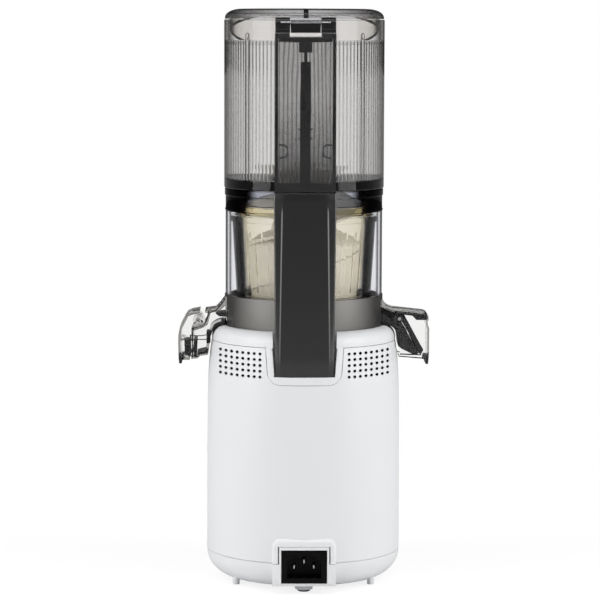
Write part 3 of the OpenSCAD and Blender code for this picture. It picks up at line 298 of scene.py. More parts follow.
def new_group(name, inputs):
    """An empty group that gives a colour, a roughness and a height: its tree, what it is given, its end."""
    tree = bpy.data.node_groups.new(name, "ShaderNodeTree")
    for label, value in inputs.items():
        kind = "NodeSocketColor" if isinstance(value, tuple) else "NodeSocketFloat"
        tree.interface.new_socket(label, in_out="INPUT", socket_type=kind).default_value = value
    tree.interface.new_socket("Colour", in_out="OUTPUT", socket_type="NodeSocketColor")
    for label in ("Roughness", "Height"):
        tree.interface.new_socket(label, in_out="OUTPUT", socket_type="NodeSocketFloat")
    return tree, tree.nodes.new("NodeGroupInput").outputs, tree.nodes.new("NodeGroupOutput")


def end_surface(tree, given, end, stain, gloss, relief):
    """Ends a surface group: stain blends its two colours and gloss varies its roughness."""
    roughness = maths(tree, "MULTIPLY_ADD", gloss, given["Unevenness"], given["Roughness"])
    feed(tree, end, {"Colour": blend(tree, stain, given["Colour"], given["Shade"]),
                     "Roughness": roughness, "Height": relief})
    return tree


def moulded_surface():
    """Moulded plastic: spark-eroded grain, a slow change of shade and of gloss over the surface."""
    tree, given, end = new_group("moulded_surface", {
        "Colour": (0.8, 0.8, 0.8, 1), "Shade": (0.7, 0.7, 0.7, 1), "Roughness": 0.4,
        "Unevenness": 0.06, "Grain Scale": 900.0, "Mottle Scale": 30.0})
    place = object_place(tree)
    mottle = noise(tree, place, given["Mottle Scale"], 3)
    grain = noise(tree, place, given["Grain Scale"], 2)
    return end_surface(tree, given, end, mottle, mottle, grain)


def machined_surface():
    """Turned or drawn metal: fine lines around the Z axis over a slow stain."""
    tree, given, end = new_group("machined_surface", {
        "Colour": (0.6, 0.6, 0.6, 1), "Shade": (0.5, 0.5, 0.5, 1), "Roughness": 0.3,
        "Unevenness": 0.15, "Line Scale": 400.0, "Stain Scale": 60.0})
    place = object_place(tree)
    inputs = {"Vector": place, "Scale": given["Line Scale"], "Distortion": 0.4}
    lines = add_node(tree, "ShaderNodeTexWave", inputs, bands_direction="Z").outputs["Fac"]
    stain = noise(tree, place, given["Stain Scale"], 2)
    return end_surface(tree, given, end, stain, lines, lines)


MOULDED = moulded_surface()
MACHINED = machined_surface()


def shaded(colour, share):
    return tuple(c * share for c in colour) + (1,)


def start_material(name, group, values, bump_strength, bump_height):
    """A material with a Principled shader fed by a surface group, and a bump from its height."""
    material = bpy.data.materials.new(name)
    material.use_nodes = True
    tree = material.node_tree
    tree.nodes.clear()
    surface = add_node(tree, "ShaderNodeGroup", values, node_tree=group).outputs
    bump = add_node(tree, "ShaderNodeBump", {
        "Strength": bump_strength, "Distance": bump_height, "Height": surface["Height"]})
    shader = add_node(tree, "ShaderNodeBsdfPrincipled", {
        "Base Color": surface["Colour"], "Roughness": surface["Roughness"],
        "Normal": bump.outputs["Normal"]})
    add_node(tree, "ShaderNodeOutputMaterial", {"Surface": shader.outputs[0]})
    return material, tree, shader


def plastic(name, colour, roughness, grain=0.02, shade=0.92, ior=1.46, coat=0.0):
    material, tree, shader = start_material(name, MOULDED, {
        "Colour": shaded(colour, 1), "Shade": shaded(colour, shade), "Roughness": roughness
    }, grain, GRAIN_HEIGHT)
    feed(tree, shader, {"IOR": ior, "Coat Weight": coat, "Coat Roughness": roughness})
    return material


def metal(name, colour, roughness, lines=400.0):
    material, tree, shader = start_material(name, MACHINED, {
        "Colour": shaded(colour, 1), "Shade": shaded(colour, 0.85), "Roughness": roughness,
        "Line Scale": lines}, 0.05, LINE_HEIGHT)
    feed(tree, shader, {"Metallic": 1})
    return material


def on_round_wall(tree, low, high):
    """1 where the surface faces away from the Z axis or towards it, 0 on the sides of a cut."""
    place = add_node(tree, "ShaderNodeTexCoord").outputs
    flat = vector_maths(tree, "MULTIPLY", place["Object"], (1, 1, 0))
    outwards = vector_maths(tree, "NORMALIZE", flat)
    along = vector_maths(tree, "DOT_PRODUCT", outwards, place["Normal"], result="Value")
    return map_range(tree, maths(tree, "ABSOLUTE", along), low, high)


def darken(material, dark, amount, at_none=False):
    """Paints shade: blends the base colour into a darker one where amount is 1, or with at_none where it is
    0.
    """
    tree = material.node_tree
    shader = node_of_type(tree, "BSDF_PRINCIPLED")
    surface = shader.inputs["Base Color"].links[0].from_socket
    ends = (dark + (1,), surface) if at_none else (surface, dark + (1,))
    feed(tree, shader, {"Base Color": blend(tree, amount, *ends)})


def paint_edge_shade(material, dark, start, full, only_round=False):
    """Painted shade: darkens the base colour where the surface is seen edge-on."""
    tree = material.node_tree
    facing = add_node(tree, "ShaderNodeLayerWeight", {"Blend": 0.5}).outputs["Facing"]
    amount = map_range(tree, facing, start, full)
    if only_round:
        amount = maths(tree, "MULTIPLY", amount, on_round_wall(tree, 0.5, 0.85))
    darken(material, dark, amount)


def clear_plastic(name, passed, wall, roughness=0.02, grain=0.0, ior=1.49, edge=0.35, start=0.5,
                  full=0.95, only_round=False, coat=0.0):
    """See-through plastic. passed is the share of red, green and blue that a wall lets through, and
    edge the share of the colour that painted shade leaves where the surface is seen edge-on."""
    material, tree, shader = start_material(name, MOULDED, {
        "Colour": WHITE, "Shade": shaded((1, 1, 1), 0.985), "Roughness": roughness,
        "Unevenness": 0.03, "Grain Scale": 500.0}, grain, GRAIN_HEIGHT)
    feed(tree, shader, {"Transmission Weight": 1, "IOR": ior, "Coat Weight": coat})
    paint_edge_shade(material, (edge, edge, edge), start, full, only_round)
    in_shadow = add_node(tree, "ShaderNodeLightPath").outputs["Is Shadow Ray"]
    light_through = add_node(tree, "ShaderNodeBsdfTransparent", {"Color": WHITE}).outputs[0]
    surface = mix_shaders(tree, in_shadow, shader.outputs[0], light_through)
    losses = [-math.log(share) / (wall * MM) for share in passed]
    density = max(losses)
    colour = tuple(1 - loss / density for loss in losses) + (1,)
    tint = add_node(tree, "ShaderNodeVolumeAbsorption", {"Color": colour, "Density": density}).outputs[0]
    feed(tree, node_of_type(tree, "OUTPUT_MATERIAL"), {"Surface": surface, "Volume": tint})
    return material


def fluted_plastic(name):
    """The smoked plastic of the hopper, with painted shade on the steep sides of its flutes."""
    material = clear_plastic(name, (0.87, 0.865, 0.86), 2.5, edge=0.03, start=0.45, full=0.85, ior=1.3)
    clear_of_flank_shade = on_round_wall(material.node_tree, 0.86, 0.94)
    # Painted shade: the flutes' steep sides are darkened whatever the light.
    darken(material, (0.3, 0.3, 0.3), clear_of_flank_shade, at_none=True)
    return material


def duct_plastic(name, black_z=276, clear_z=345):
    """The smoked plastic of the rear duct, with painted shade that turns it black at its foot."""
    material = clear_plastic(name, (0.52, 0.515, 0.515), 2.2, grain=0.004, edge=0.1)
    tree = material.node_tree
    height = add_node(tree, "ShaderNodeSeparateXYZ", {0: object_place(tree)}).outputs["Z"]
    # Painted shade: full black at black_z, fading out by clear_z.
    clear_of_foot_shade = map_range(tree, height, black_z * MM, clear_z * MM, curve="LINEAR")
    darken(material, (0.02, 0.02, 0.02), clear_of_foot_shade, at_none=True)
    return material


def frosted_plastic(name, colour, edge_colour, roughness, start, full):
    """Frosted plastic with painted shade where it is seen edge-on."""
    material = start_material(name, MOULDED, {
        "Colour": shaded(colour, 1), "Shade": shaded(colour, 0.9), "Roughness": roughness,
        "Grain Scale": 700.0}, 0.05, GRAIN_HEIGHT)[0]
    paint_edge_shade(material, edge_colour, start, full)
    return material


# Where a finish gives edge or an edge colour with start and full, that darkening is painted shade where the
# surface is seen edge-on.
FINISHES = {
    "white_casing": lambda n: plastic(n, (0.83, 0.84, 0.85), 0.34, grain=0.03, shade=0.985),
    # Painted shade: the grey ring turns near black where it is seen edge-on.
    "grey_plastic": lambda n: frosted_plastic(n, (0.27, 0.26, 0.243), (0.025, 0.024, 0.023), 0.4,
                                              start=0.02, full=0.62),
    "handle_plastic": lambda n: plastic(n, (0.004, 0.004, 0.004), 0.17, grain=0.005, ior=1.5, coat=0.6),
    "dark_plastic": lambda n: plastic(n, (0.006, 0.006, 0.0065), 0.16),
    "black_plastic": lambda n: plastic(n, (0.004, 0.004, 0.004), 0.3, ior=1.38),
    "inlet_plastic": lambda n: plastic(n, (0.002, 0.002, 0.002), 0.25, ior=1.2),
    "smoked_bowl": lambda n: clear_plastic(n, (0.93, 0.932, 0.94), 2.5, edge=0.01, start=0.7, full=0.8,
                                           ior=1.08),
    "smoked_hopper": fluted_plastic,
    "rib_plastic": lambda n: clear_plastic(n, (0.9, 0.9, 0.9), 2.2, edge=0.01, start=0.2, full=0.5,
                                           ior=1.1),
    "skirt_plastic": lambda n: clear_plastic(n, (0.9, 0.885, 0.87), 1.5, edge=0.1, start=0.6, full=0.9,
                                             ior=1.1),
    "collar_plastic": lambda n: clear_plastic(n, (0.80, 0.805, 0.825), 2.5, edge=0.003, start=0.22,
                                              full=0.42, ior=1.08),
    "smoked_duct": duct_plastic,
    "hopper_foot_plastic": lambda n: clear_plastic(n, (0.45, 0.45, 0.45), 2.5, grain=0.004, edge=0.02,
                                                   start=0.2, full=0.5, ior=1.33),
    "spigot_plastic": lambda n: clear_plastic(n, (0.79, 0.795, 0.82), 2.2, edge=0.003, start=0.22,
                                              full=0.38, ior=1.08),
    "smoked_lid": lambda n: clear_plastic(n, (0.89, 0.89, 0.895), 2.2, roughness=0.2, grain=0.004,
                                          edge=0.02, start=0.3, full=0.85, ior=1.25, coat=0.4),
    "clear_spout": lambda n: clear_plastic(n, (0.93, 0.928, 0.925), 1.8, edge=0.4, start=0.6, full=0.9,
                                           ior=1.17),
    "amber_plastic": lambda n: clear_plastic(n, (0.985, 0.968, 0.91), 1.6, roughness=0.04, edge=0.35,
                                             start=0.6, full=0.85, only_round=True, ior=1.12),
    "strainer_frame": lambda n: clear_plastic(n, (0.975, 0.97, 0.96), 1.6, edge=0.003, start=0.45,
                                              full=0.56, only_round=True, ior=1.08),
    # Painted shade: the auger's cream turns darker where it is seen edge-on, as if shaded round its sides.
    "auger_plastic": lambda n: frosted_plastic(n, (0.88, 0.865, 0.83), (0.74, 0.72, 0.68), 0.4,
                                               start=0.3, full=0.95),
    "knob_plastic": lambda n: plastic(n, (0.70, 0.71, 0.72), 0.3, shade=0.98),
    "nylon": lambda n: plastic(n, (0.72, 0.71, 0.66), 0.5),
    "gearbox_plastic": lambda n: plastic(n, (0.42, 0.43, 0.44), 0.5),
    "board": lambda n: plastic(n, (0.03, 0.18, 0.08), 0.4),
    "capacitor_can": lambda n: plastic(n, (0.08, 0.10, 0.16), 0.35),
    "winding": lambda n: metal(n, (0.72, 0.30, 0.12), 0.35, lines=900.0),
    "gear_metal": lambda n: metal(n, (0.62, 0.52, 0.34), 0.35),
    "bronze": lambda n: metal(n, (0.60, 0.42, 0.20), 0.4),
    "lamination": lambda n: metal(n, (0.30, 0.31, 0.33), 0.5, lines=1000.0),
    "die_cast": lambda n: metal(n, (0.55, 0.56, 0.57), 0.5, lines=200.0),
    "bearing_steel": lambda n: metal(n, (0.60, 0.61, 0.63), 0.2),
    "shaft_steel": lambda n: metal(n, (0.62, 0.63, 0.65), 0.18, lines=700.0),
    "screw_steel": lambda n: metal(n, (0.55, 0.55, 0.56), 0.3),
    "contact_metal": lambda n: metal(n, (0.80, 0.79, 0.76), 0.18),
    "grey_rubber": lambda n: plastic(n, (0.05, 0.05, 0.055), 0.7, grain=0.1),
    "black_rubber": lambda n: plastic(n, (0.010, 0.010, 0.011), 0.5, grain=0.08),
}
made_finishes = {}


def finish_for(slot):
    if slot not in made_finishes:
        made_finishes[slot] = FINISHES[slot](slot)
    return made_finishes[slot]


def finish_cad_nodes():
    """Gives every CAD node the finish of its own slot, and the cap's clear pin the nozzle's."""
    for part in frame["record"]["subparts"]:
        for material_slot in frame["nodes"][part["node"]].material_slots:
            material_slot.material = finish_for(part["material_slot"])
    for material_slot in frame["nodes"]["cap_pin"].material_slots:
        material_slot.material = finish_for("clear_spout")


# ---------- White casings, feet and inlet ----------

WALL_FOOT_Z = 40
WALL_TOP_Z = 172.5
CAD_CASING_R = 70
CASING_R = 69.3
CASING_WALL = 2.5
CASING_LEAN = 0.5
CASING_CURL = 3
# Heights at which the casing's outline has a point between its lowest and highest, closer as it curls
CASING_HEIGHTS = (WALL_FOOT_Z, 80, 100, 115, 128, 138, 146, 153, 158, 162, 165.5, 168.5, 171)
# Where cuts through the casing's wall start and end
INSIDE_Y = 20
OUTSIDE_Y = 75
# The notch behind the handle, and how far its frame leans outwards from its foot to its top
NOTCH_HALF_W = 26.5
NOTCH_FOOT_Z = 147
NOTCH_CORNER_R = 8.9
FRAME_FOOT_Z = 146
FRAME_LIFT = 1.4
FRAME_LEAN = 1.9
FRAME_LEAN_AT_FOOT = -0.9
FRAME_INNER_X = 17
FRAME_W = 9
FRAME_FROM_Y = 60
FRAME_DEPTH = 0.6
VENT_R = 1.12
VENT_STEP = 4
VENT_COLUMNS = 8
VENT_ROWS = 5
VENT_FIRST_X = 31.1
VENT_FIRST_Z = 152.3
# A dark sheet behind the vents: painted shade that makes the holes look dark
VENT_SHADE_GAP = 0.25
VENT_SHADE_THICK = 0.6
VENT_SHADE_NEAR_X = 29
VENT_SHADE_NEAR_Y = 8
VENT_SHADE_HEIGHTS = (149, 153, 157, 161, 165, 168, 171)
KNOB_Z = 70
KNOB_HOLE_R = 19.1
PAD_HALF_W = 22.3
PAD_FOOT_Z = 6
PAD_TOP_Z = 39.4
PAD_CORNER_R = 6
PAD_EDGE_R = 2.6
PAD_INNER_Y = 58
PAD_FACE_Y = 70
# The bottom moulding's own pad lies behind this face
BEHIND_PAD_Y = 69.2
BEHIND_PAD_HALF_W = 23
BEHIND_PAD_FROM_Y = 50
SLIMMED_FROM_R = 60
# Boxes by two corners: the shell's gap for the inlet, and what is cut from the pad
INLET_GAP = ((-19, INSIDE_Y, 0), (19, OUTSIDE_Y, 34.5))
PAD_OPENING = ((-16.1, 55, 7.9), (16.1, OUTSIDE_Y, 31.6))
PAD_SIDE_SLOT = ((17.5, 66, 21.6), (18.4, OUTSIDE_Y, 34))
PAD_SIDE_SEAM = ((18, 60, 21.5), (23, OUTSIDE_Y, 21.85))
PAD_TOP_SEAM = ((-17.6, 69.2, 33.6), (17.6, OUTSIDE_Y, 33.95))
# The inlet's three pins, drawn shorter and slimmer than CAD has them
PIN_STEP = 7
EARTH_PIN_Z = 21.8
OUTER_PIN_Z = 17.8
PIN_TIP_Y = 60
PIN_WIDTH_SHARE = 0.5
PIN_HEIGHT_SHARE = 0.7


def casing_r(z):
    """Outer radius of the casing: upright at its foot, leaning in and curling in at its top."""
    t = max(0, (z - WALL_FOOT_Z) / (WALL_TOP_Z - WALL_FOOT_Z))
    return CASING_R - CASING_LEAN * t - CASING_CURL * t ** 8


def leaned(x, share):
    """The notch frame is wider at its top than at its foot; share is the height from 0 to 1."""
    near_side = min(1, max(0, (abs(x) - FRAME_INNER_X) / FRAME_W))
    return math.copysign(abs(x) + near_side * (FRAME_LEAN * share + FRAME_LEAN_AT_FOOT), x)


def notch_outline(half_w, foot_z, corner_r, top_z):
    """Outline of the notch, leaned as its frame is."""
    points = [(-half_w, top_z - (top_z - foot_z) * k / 6) for k in range(5)]
    points += arc(-half_w + corner_r, foot_z + corner_r, corner_r, 180, 270, 12)
    left = [(leaned(x, (z - foot_z) / (top_z - foot_z)), z) for x, z in points]
    return left + [(-x, z) for x, z in reversed(left)]


def casing_shell():
    low, high = span("body_shell")
    heights = [low.z, *CASING_HEIGHTS, high.z]
    outside = [(casing_r(z), z) for z in heights]
    inside = [(casing_r(z) - CASING_WALL, z) for z in reversed(heights)]
    shell = turned(outside + inside, 180)
    outline = notch_outline(NOTCH_HALF_W, NOTCH_FOOT_Z, NOTCH_CORNER_R, high.z + 1)
    cutters = [slab(outline, INSIDE_Y, OUTSIDE_Y)]
    for column in range(VENT_COLUMNS):
        for row in range(VENT_ROWS):
            for side in SIDES:
                x = side * (VENT_FIRST_X + VENT_STEP * column)
                z = VENT_FIRST_Z + VENT_STEP * row
                cutters.append(rod(VENT_R, (x, INSIDE_Y, z), (x, OUTSIDE_Y, z)))
    cutters.append(block(*INLET_GAP))
    cutters.append(rod(KNOB_HOLE_R, (0, -OUTSIDE_Y, KNOB_Z), (0, -INSIDE_Y, KNOB_Z), 64))
    return cut(shell, together(*cutters))


def vent_shade_sheet():
    """Painted shade: a dark sheet behind the vents, inside the shell, that makes the holes look dark."""
    outer_gap = CASING_WALL + VENT_SHADE_GAP
    outside = [(casing_r(z) - outer_gap, z) for z in VENT_SHADE_HEIGHTS]
    inside = [(casing_r(z) - outer_gap - VENT_SHADE_THICK, z) for z in reversed(VENT_SHADE_HEIGHTS)]
    below_z, above_z = VENT_SHADE_HEIGHTS[0] - 9, VENT_SHADE_HEIGHTS[-1] + 9
    gone = together(block((-VENT_SHADE_NEAR_X, 0, below_z), (VENT_SHADE_NEAR_X, OUTSIDE_Y, above_z)),
                    block((-OUTSIDE_Y, -OUTSIDE_Y, below_z), (OUTSIDE_Y, VENT_SHADE_NEAR_Y, above_z)))
    return cut(turned(outside + inside, 90), gone)


def casing_shoulder():
    """The shoulder moulding, its notch frame leaned and brought flush with the shell."""
    bm = cad_copy("shoulder_cover")
    for v in bm.verts:
        x, y, z = v.co / MM
        on_frame = y > FRAME_FROM_Y and z < WALL_TOP_Z + 0.1
        if on_frame and math.hypot(x, y) > casing_r(z) - FRAME_DEPTH:
            share = (z - FRAME_FOOT_Z) / (WALL_TOP_Z - FRAME_FOOT_Z)
            z += FRAME_LIFT * (1 - share)
            x = leaned(x, share)
            v.co = Vector((x, math.sqrt(casing_r(z) ** 2 - x * x), z)) * MM
    return round_edges(bm, 0.4)


def inlet_pad():
    """The raised pad around the inlet: its top has soft corners, its sides have a dark slot each."""
    points = [(-PAD_HALF_W, PAD_FOOT_Z), (PAD_HALF_W, PAD_FOOT_Z)]
    corner_x, corner_z = PAD_HALF_W - PAD_CORNER_R, PAD_TOP_Z - PAD_CORNER_R
    points += arc(corner_x, corner_z, PAD_CORNER_R, 0, 90, 6)
    points += arc(-corner_x, corner_z, PAD_CORNER_R, 90, 180, 6)
    pad = slab(points, PAD_INNER_Y, PAD_FACE_Y)
    round_edges(pad, PAD_EDGE_R, 6, keep=lambda p: p.y > PAD_FACE_Y - 1)
    pad = cut(pad, together(block(*PAD_OPENING), block_pair(*PAD_SIDE_SLOT)))
    return cut(pad, together(block(*PAD_TOP_SEAM), block_pair(*PAD_SIDE_SEAM)))


def casing_bottom():
    """The bottom moulding, as slim as the shell and cut back behind the pad."""
    bm = cad_copy("bottom_cover")
    for v in bm.verts:
        x, y = v.co.xy / MM
        if abs(x) < BEHIND_PAD_HALF_W and y > BEHIND_PAD_FROM_Y:
            v.co.y = min(y, BEHIND_PAD_Y) * MM
        elif math.hypot(x, y) > SLIMMED_FROM_R:
            v.co.xy *= CASING_R / CAD_CASING_R
    return round_edges(bm, 0.4)


def white_casings():
    piece("casing_shell", casing_shell(), "base", "white_casing", ["body_shell"])
    # Painted shade behind the vent holes
    piece("vent_shade_sheet", vent_shade_sheet(), "base", "black_plastic")
    piece("casing_shoulder", casing_shoulder(), "base", "white_casing", ["shoulder_cover"])
    piece("casing_bottom", casing_bottom(), "base", "white_casing", ["bottom_cover"])
    piece("inlet_pad", inlet_pad(), "base", "white_casing")
    rounded("feet", "rubber_feet", 0.5, "base", "grey_rubber", 3)
    rounded("knob_ring", "knob_bezel", 0.8, "base", "white_casing", 3)
    rounded("knob", "selector_knob", 0.9, "knob", "knob_plastic", 3)


def mains_inlet():
    rounded("inlet_housing", "mains_inlet", 0.5, "base", "black_plastic", 3, finish="inlet_plastic")
    contacts = cad_copy("inlet_pins")
    for v in contacts.verts:
        x, y, z = v.co / MM
        middle_x = PIN_STEP * round(x / PIN_STEP)
        middle_z = OUTER_PIN_Z if middle_x else EARTH_PIN_Z
        slim_x = middle_x + PIN_WIDTH_SHARE * (x - middle_x)
        slim_z = middle_z + PIN_HEIGHT_SHARE * (z - middle_z)
        v.co = Vector((slim_x, min(y, PIN_TIP_Y), slim_z)) * MM
    piece("inlet_contacts", round_edges(contacts, 0.2), "base", "contact_metal", ["inlet_pins"])


# ---------- Bowl, strainers and auger ----------

# Half the width of the handle and of the flat between its ridges, at the foot, and how they change
HANDLE_HALF_W = 20.5
HANDLE_WIDENING = 1.2
RIDGE_X = 17.5
RIDGE_CLOSING = 1.9
RIDGE_STEP = 0.55
STEP_END = 6  # Below the handle's top
STEP_FADE = 8
HANDLE_FACE_Y = 66
HANDLE_INNER_Y = 54
HANDLE_HEIGHTS = (200, 225, 250, 262)
# Above this height the handle's inner face follows the bowl's wall
HANDLE_SEAT_Z = 179
HANDLE_SEAT_R = 56.65
ROD_CHANNEL_HALF_W = 4
ROD_CHANNEL_FROM_Y = 57.6
ROD_CHANNEL_TO_Y = 62.4
CARRIER_HOLE_R = 41.2
CARRIER_FOOT_R = 48
CARRIER_TOP_R = 51.3
CARRIER_WALL = 1.6
CARRIER_FLOOR = 1.8
CARRIER_RIM = 4
CARRIER_RIM_WALL = 1.7
CARRIER_SLITS = 10
SLIT_W = 1.2
SLIT_FROM_R = 44
SLIT_TO_R = 56
SLIT_ABOVE_FOOT = 8
SLIT_BELOW_TOP = 10
BOWL_WALL = 2.5
COLLAR_PROUD = 0.6
COLLAR_H = 16
# The collar's raised band ends, and its rim starts, this far below its top
BAND_END = 14
BAND_PROUD = 0.4
RIM_START = 4.4


def handle_section(z, low_z, high_z):
    """Points around the handle at a height: a flat front between two ridges, then a shallow bevel."""
    t = (z - low_z) / (high_z - low_z)
    half_w = HANDLE_HALF_W + HANDLE_WIDENING * t
    ridge = RIDGE_X - RIDGE_CLOSING * t
    step = RIDGE_STEP * min(1, max(0, (high_z - STEP_END - z) / STEP_FADE))
    front = [(0, 0), (ridge * 0.6, 0.05), (ridge - 0.7, 0.18), (ridge - 0.35, 0.25),
             (ridge, 0.35 + 0.25 * step), (ridge + 0.45, 0.4 + 0.8 * step), (ridge + 0.8, 0.45 + step),
             (ridge + 1.2, 0.55 + step), (half_w - 0.9, 2), (half_w - 0.3, 2.2), (half_w, 2.6),
             (half_w, 3.4)]
    right = [(x, HANDLE_FACE_Y - depth) for x, depth in front]
    for share in (1, 0.75, 0.5, 0.25, 0):
        x = half_w * share
        seat_y = math.sqrt(HANDLE_SEAT_R ** 2 - x * x)
        right.append((x, seat_y if z > HANDLE_SEAT_Z else HANDLE_INNER_Y))
    left = [(-x, y) for x, y in reversed(right[1:-1])]
    return [(x, y, z) for x, y in right + left]


def handle():
    low, high = span("bowl_handle")
    heights = [low.z, low.z + 13, HANDLE_SEAT_Z - 0.1, HANDLE_SEAT_Z + 0.1, *HANDLE_HEIGHTS,
               high.z - STEP_END - STEP_FADE, high.z - 9, high.z - STEP_END, high.z]
    body = lofted([handle_section(z, low.z, high.z) for z in heights])
    round_edges(body, 0.5, 3, 50, keep=lambda p: p.z < low.z + 0.1 or p.z > high.z - 0.1)
    return cut(body, block((-ROD_CHANNEL_HALF_W, ROD_CHANNEL_FROM_Y, low.z - 1),
                           (ROD_CHANNEL_HALF_W, ROD_CHANNEL_TO_Y, high.z + 1)))


def strainer_carrier():
    """The outer strainer: a smoked cone with upright slits."""
    low, high = span("outer_strainer")
    cone = turned([(CARRIER_HOLE_R, low.z), (CARRIER_FOOT_R, low.z), (CARRIER_TOP_R, high.z - CARRIER_RIM),
                   (high.x, high.z - CARRIER_RIM), (high.x, high.z),
                   (CARRIER_TOP_R - CARRIER_RIM_WALL, high.z),
                   (CARRIER_FOOT_R - CARRIER_WALL, low.z + CARRIER_FLOOR),
                   (CARRIER_HOLE_R, low.z + CARRIER_FLOOR)], 160)
    slits = []
    for k in range(CARRIER_SLITS):
        slit = block((SLIT_FROM_R, -SLIT_W / 2, low.z + SLIT_ABOVE_FOOT),
                     (SLIT_TO_R, SLIT_W / 2, high.z - SLIT_BELOW_TOP))
        turn = Matrix.Rotation(math.tau * (k + 0.5) / CARRIER_SLITS, 3, "Z")
        bmesh.ops.rotate(slit, cent=(0, 0, 0), matrix=turn, verts=slit.verts)
        slits.append(slit)
    return cut(cone, together(*slits))


def bowl():
    low, high = span("bowl")
    collar_r = high.x
    wall_r = collar_r - COLLAR_PROUD
    band_r = wall_r + BAND_PROUD
    inner_r = wall_r - BOWL_WALL
    collar_z = high.z - COLLAR_H
    piece("bowl_wall", turned([
        (inner_r, low.z), (wall_r, low.z), (wall_r, collar_z), (inner_r, collar_z)
    ], 160), "bowl_set", "smoked_bowl", ["bowl"])
    piece("bowl_collar", turned([
        (inner_r, collar_z + 0.02), (wall_r, collar_z + 0.02), (band_r, collar_z + 0.6),
        (band_r, high.z - BAND_END - 0.6), (wall_r, high.z - BAND_END), (wall_r, high.z - RIM_START - 0.8),
        (collar_r, high.z - RIM_START), (collar_r, high.z - 0.5), (collar_r - 0.5, high.z),
        (inner_r + 0.4, high.z), (inner_r, high.z - 0.4)
    ], 160), "bowl_set", "smoked_bowl", finish="collar_plastic")
    rounded("bowl_foot_ring", "bowl_base", 0.4, "bowl_set", "grey_plastic")
    piece("handle_shell", handle(), "bowl_set", "handle_plastic", ["bowl_handle"])
    rounded("strainer_cone", "inner_strainer", 0.25, "bowl_set", "amber_plastic")
    piece("strainer_carrier", strainer_carrier(), "bowl_set", "strainer_frame", ["outer_strainer"])


# ---------- Spouts ----------

# Half widths across the juice nozzle and the pulp hood
SEAM_Y = 13.2
SADDLE_Y = 12.8
ROOF_Y = 11
FLOOR_Y = 11.5
HOOD_CATCH_Y = 11.8
HOOD_LIP_Y = 13.6
CAP_LIP_Y = 15.6
# Outlines, as (x, z) points
NOZZLE_SEAM = [(56, 202.5), (59.5, 197.7), (63, 194), (66.9, 192.6), (68.3, 190), (69.5, 186.5), (71, 184.2),
               (73, 182.9), (78.2, 181.5), (79.1, 180), (79.4, 178), (79.4, 160.5)]
NOZZLE_ROOF = [(57.5, 192.4), (63, 191.6), (60.5, 189.6), (55.2, 189.2), (55.2, 193.4)]
NOZZLE_FLOOR = [(68.6, 165.1), (75.9, 163.6), (75.9, 161.8), (68.6, 163.2)]
HOOD_CATCH = [(-66.9, 192.2), (-88, 190.6), (-88, 187.2), (-80.4, 187.2), (-77.6, 190.2), (-67.6, 191.4)]
HOOD_SEAM = [(-67.3, 163.4), (-68.2, 161.3), (-86.5, 159.9)]
SEAM_R = 0.42
HOOD_SEAM_R = 0.4
# The round shoulder under the nozzle, and the seal that lies on it
SADDLE_MIDDLE_X = 57
SADDLE_MIDDLE_Z = 174.7
SADDLE_R = 9.2
SADDLE_THICK = 2.8
SADDLE_THINNING = 2.3
# Boxes by two corners: the packing's blocks, and the seal around the nozzle's mouth
UPPER_PACKING = ((66.9, -7, 174.7), (69.6, 7, 178.4))
LOWER_PACKING = ((66.9, -7, 169.8), (69.6, 7, 174))
MOUTH_POST = ((76.4, 11.2, 160.4), (78.3, 12.8, 173.3))
MOUTH_BAR = ((76.4, -11.2, 172.2), (78.3, 11.2, 173.3))
NOZZLE_LEDGE = ((67.6, 12.9, 172.9), (83, 13.45, 173.5))
# The spouts' outer ends, where their lips start, and how far these reach up and down
SPOUT_END_X = 88.95
HOOD_LIP_X = 87.2
HOOD_LIP_H = 5.5
CAP_LIP_X = 87.1
CAP_LIP_H = 5
LIP_DROP = 0.03


def seam_pair(outline, radius):
    """A thin seal along an outline, on both sides of a spout."""
    return together(*[wire([(x, side * SEAM_Y, z) for x, z in outline], radius) for side in SIDES])


def saddle():
    """The seal over the round shoulder, thinner towards its lower end."""
    inside, outside = [], []
    for k in range(9):
        a = math.radians(94 - 86 * k / 8)
        outer_r = SADDLE_R + SADDLE_THICK - SADDLE_THINNING * k / 8
        for points, radius in ((inside, SADDLE_R), (outside, outer_r)):
            points.append((SADDLE_MIDDLE_X + radius * math.cos(a), SADDLE_MIDDLE_Z + radius * math.sin(a)))
    return slab(inside + outside[::-1], -SADDLE_Y, SADDLE_Y)


def nozzle_seals():
    """Black seals of the juice nozzle: along its parting line, around its mouth, over the shoulder."""
    roof = slab(NOZZLE_ROOF, -ROOF_Y, ROOF_Y)
    floor = slab(NOZZLE_FLOOR, -FLOOR_Y, FLOOR_Y)
    blocks = [block(*corners) for corners in (UPPER_PACKING, LOWER_PACKING, MOUTH_BAR)]
    pairs = [block_pair(*corners, axis=1) for corners in (MOUTH_POST, NOZZLE_LEDGE)]
    return together(seam_pair(NOZZLE_SEAM, SEAM_R), saddle(), roof, floor, *blocks, *pairs)


def hood_trim():
    """Black trim of the pulp outlet: a catch under its roof, a line along its foot and its lip."""
    foot_z = span("pulp_cover")[0].z
    catch = slab(HOOD_CATCH, -HOOD_CATCH_Y, HOOD_CATCH_Y)
    lip = block((-SPOUT_END_X, -HOOD_LIP_Y, foot_z - LIP_DROP),
                (-HOOD_LIP_X, HOOD_LIP_Y, foot_z + HOOD_LIP_H))
    return together(catch, seam_pair(HOOD_SEAM, HOOD_SEAM_R), lip)


def cap_lip():
    foot_z = span("juice_cap")[0].z
    return block((CAP_LIP_X, -CAP_LIP_Y, foot_z - LIP_DROP), (SPOUT_END_X, CAP_LIP_Y, foot_z + CAP_LIP_H))


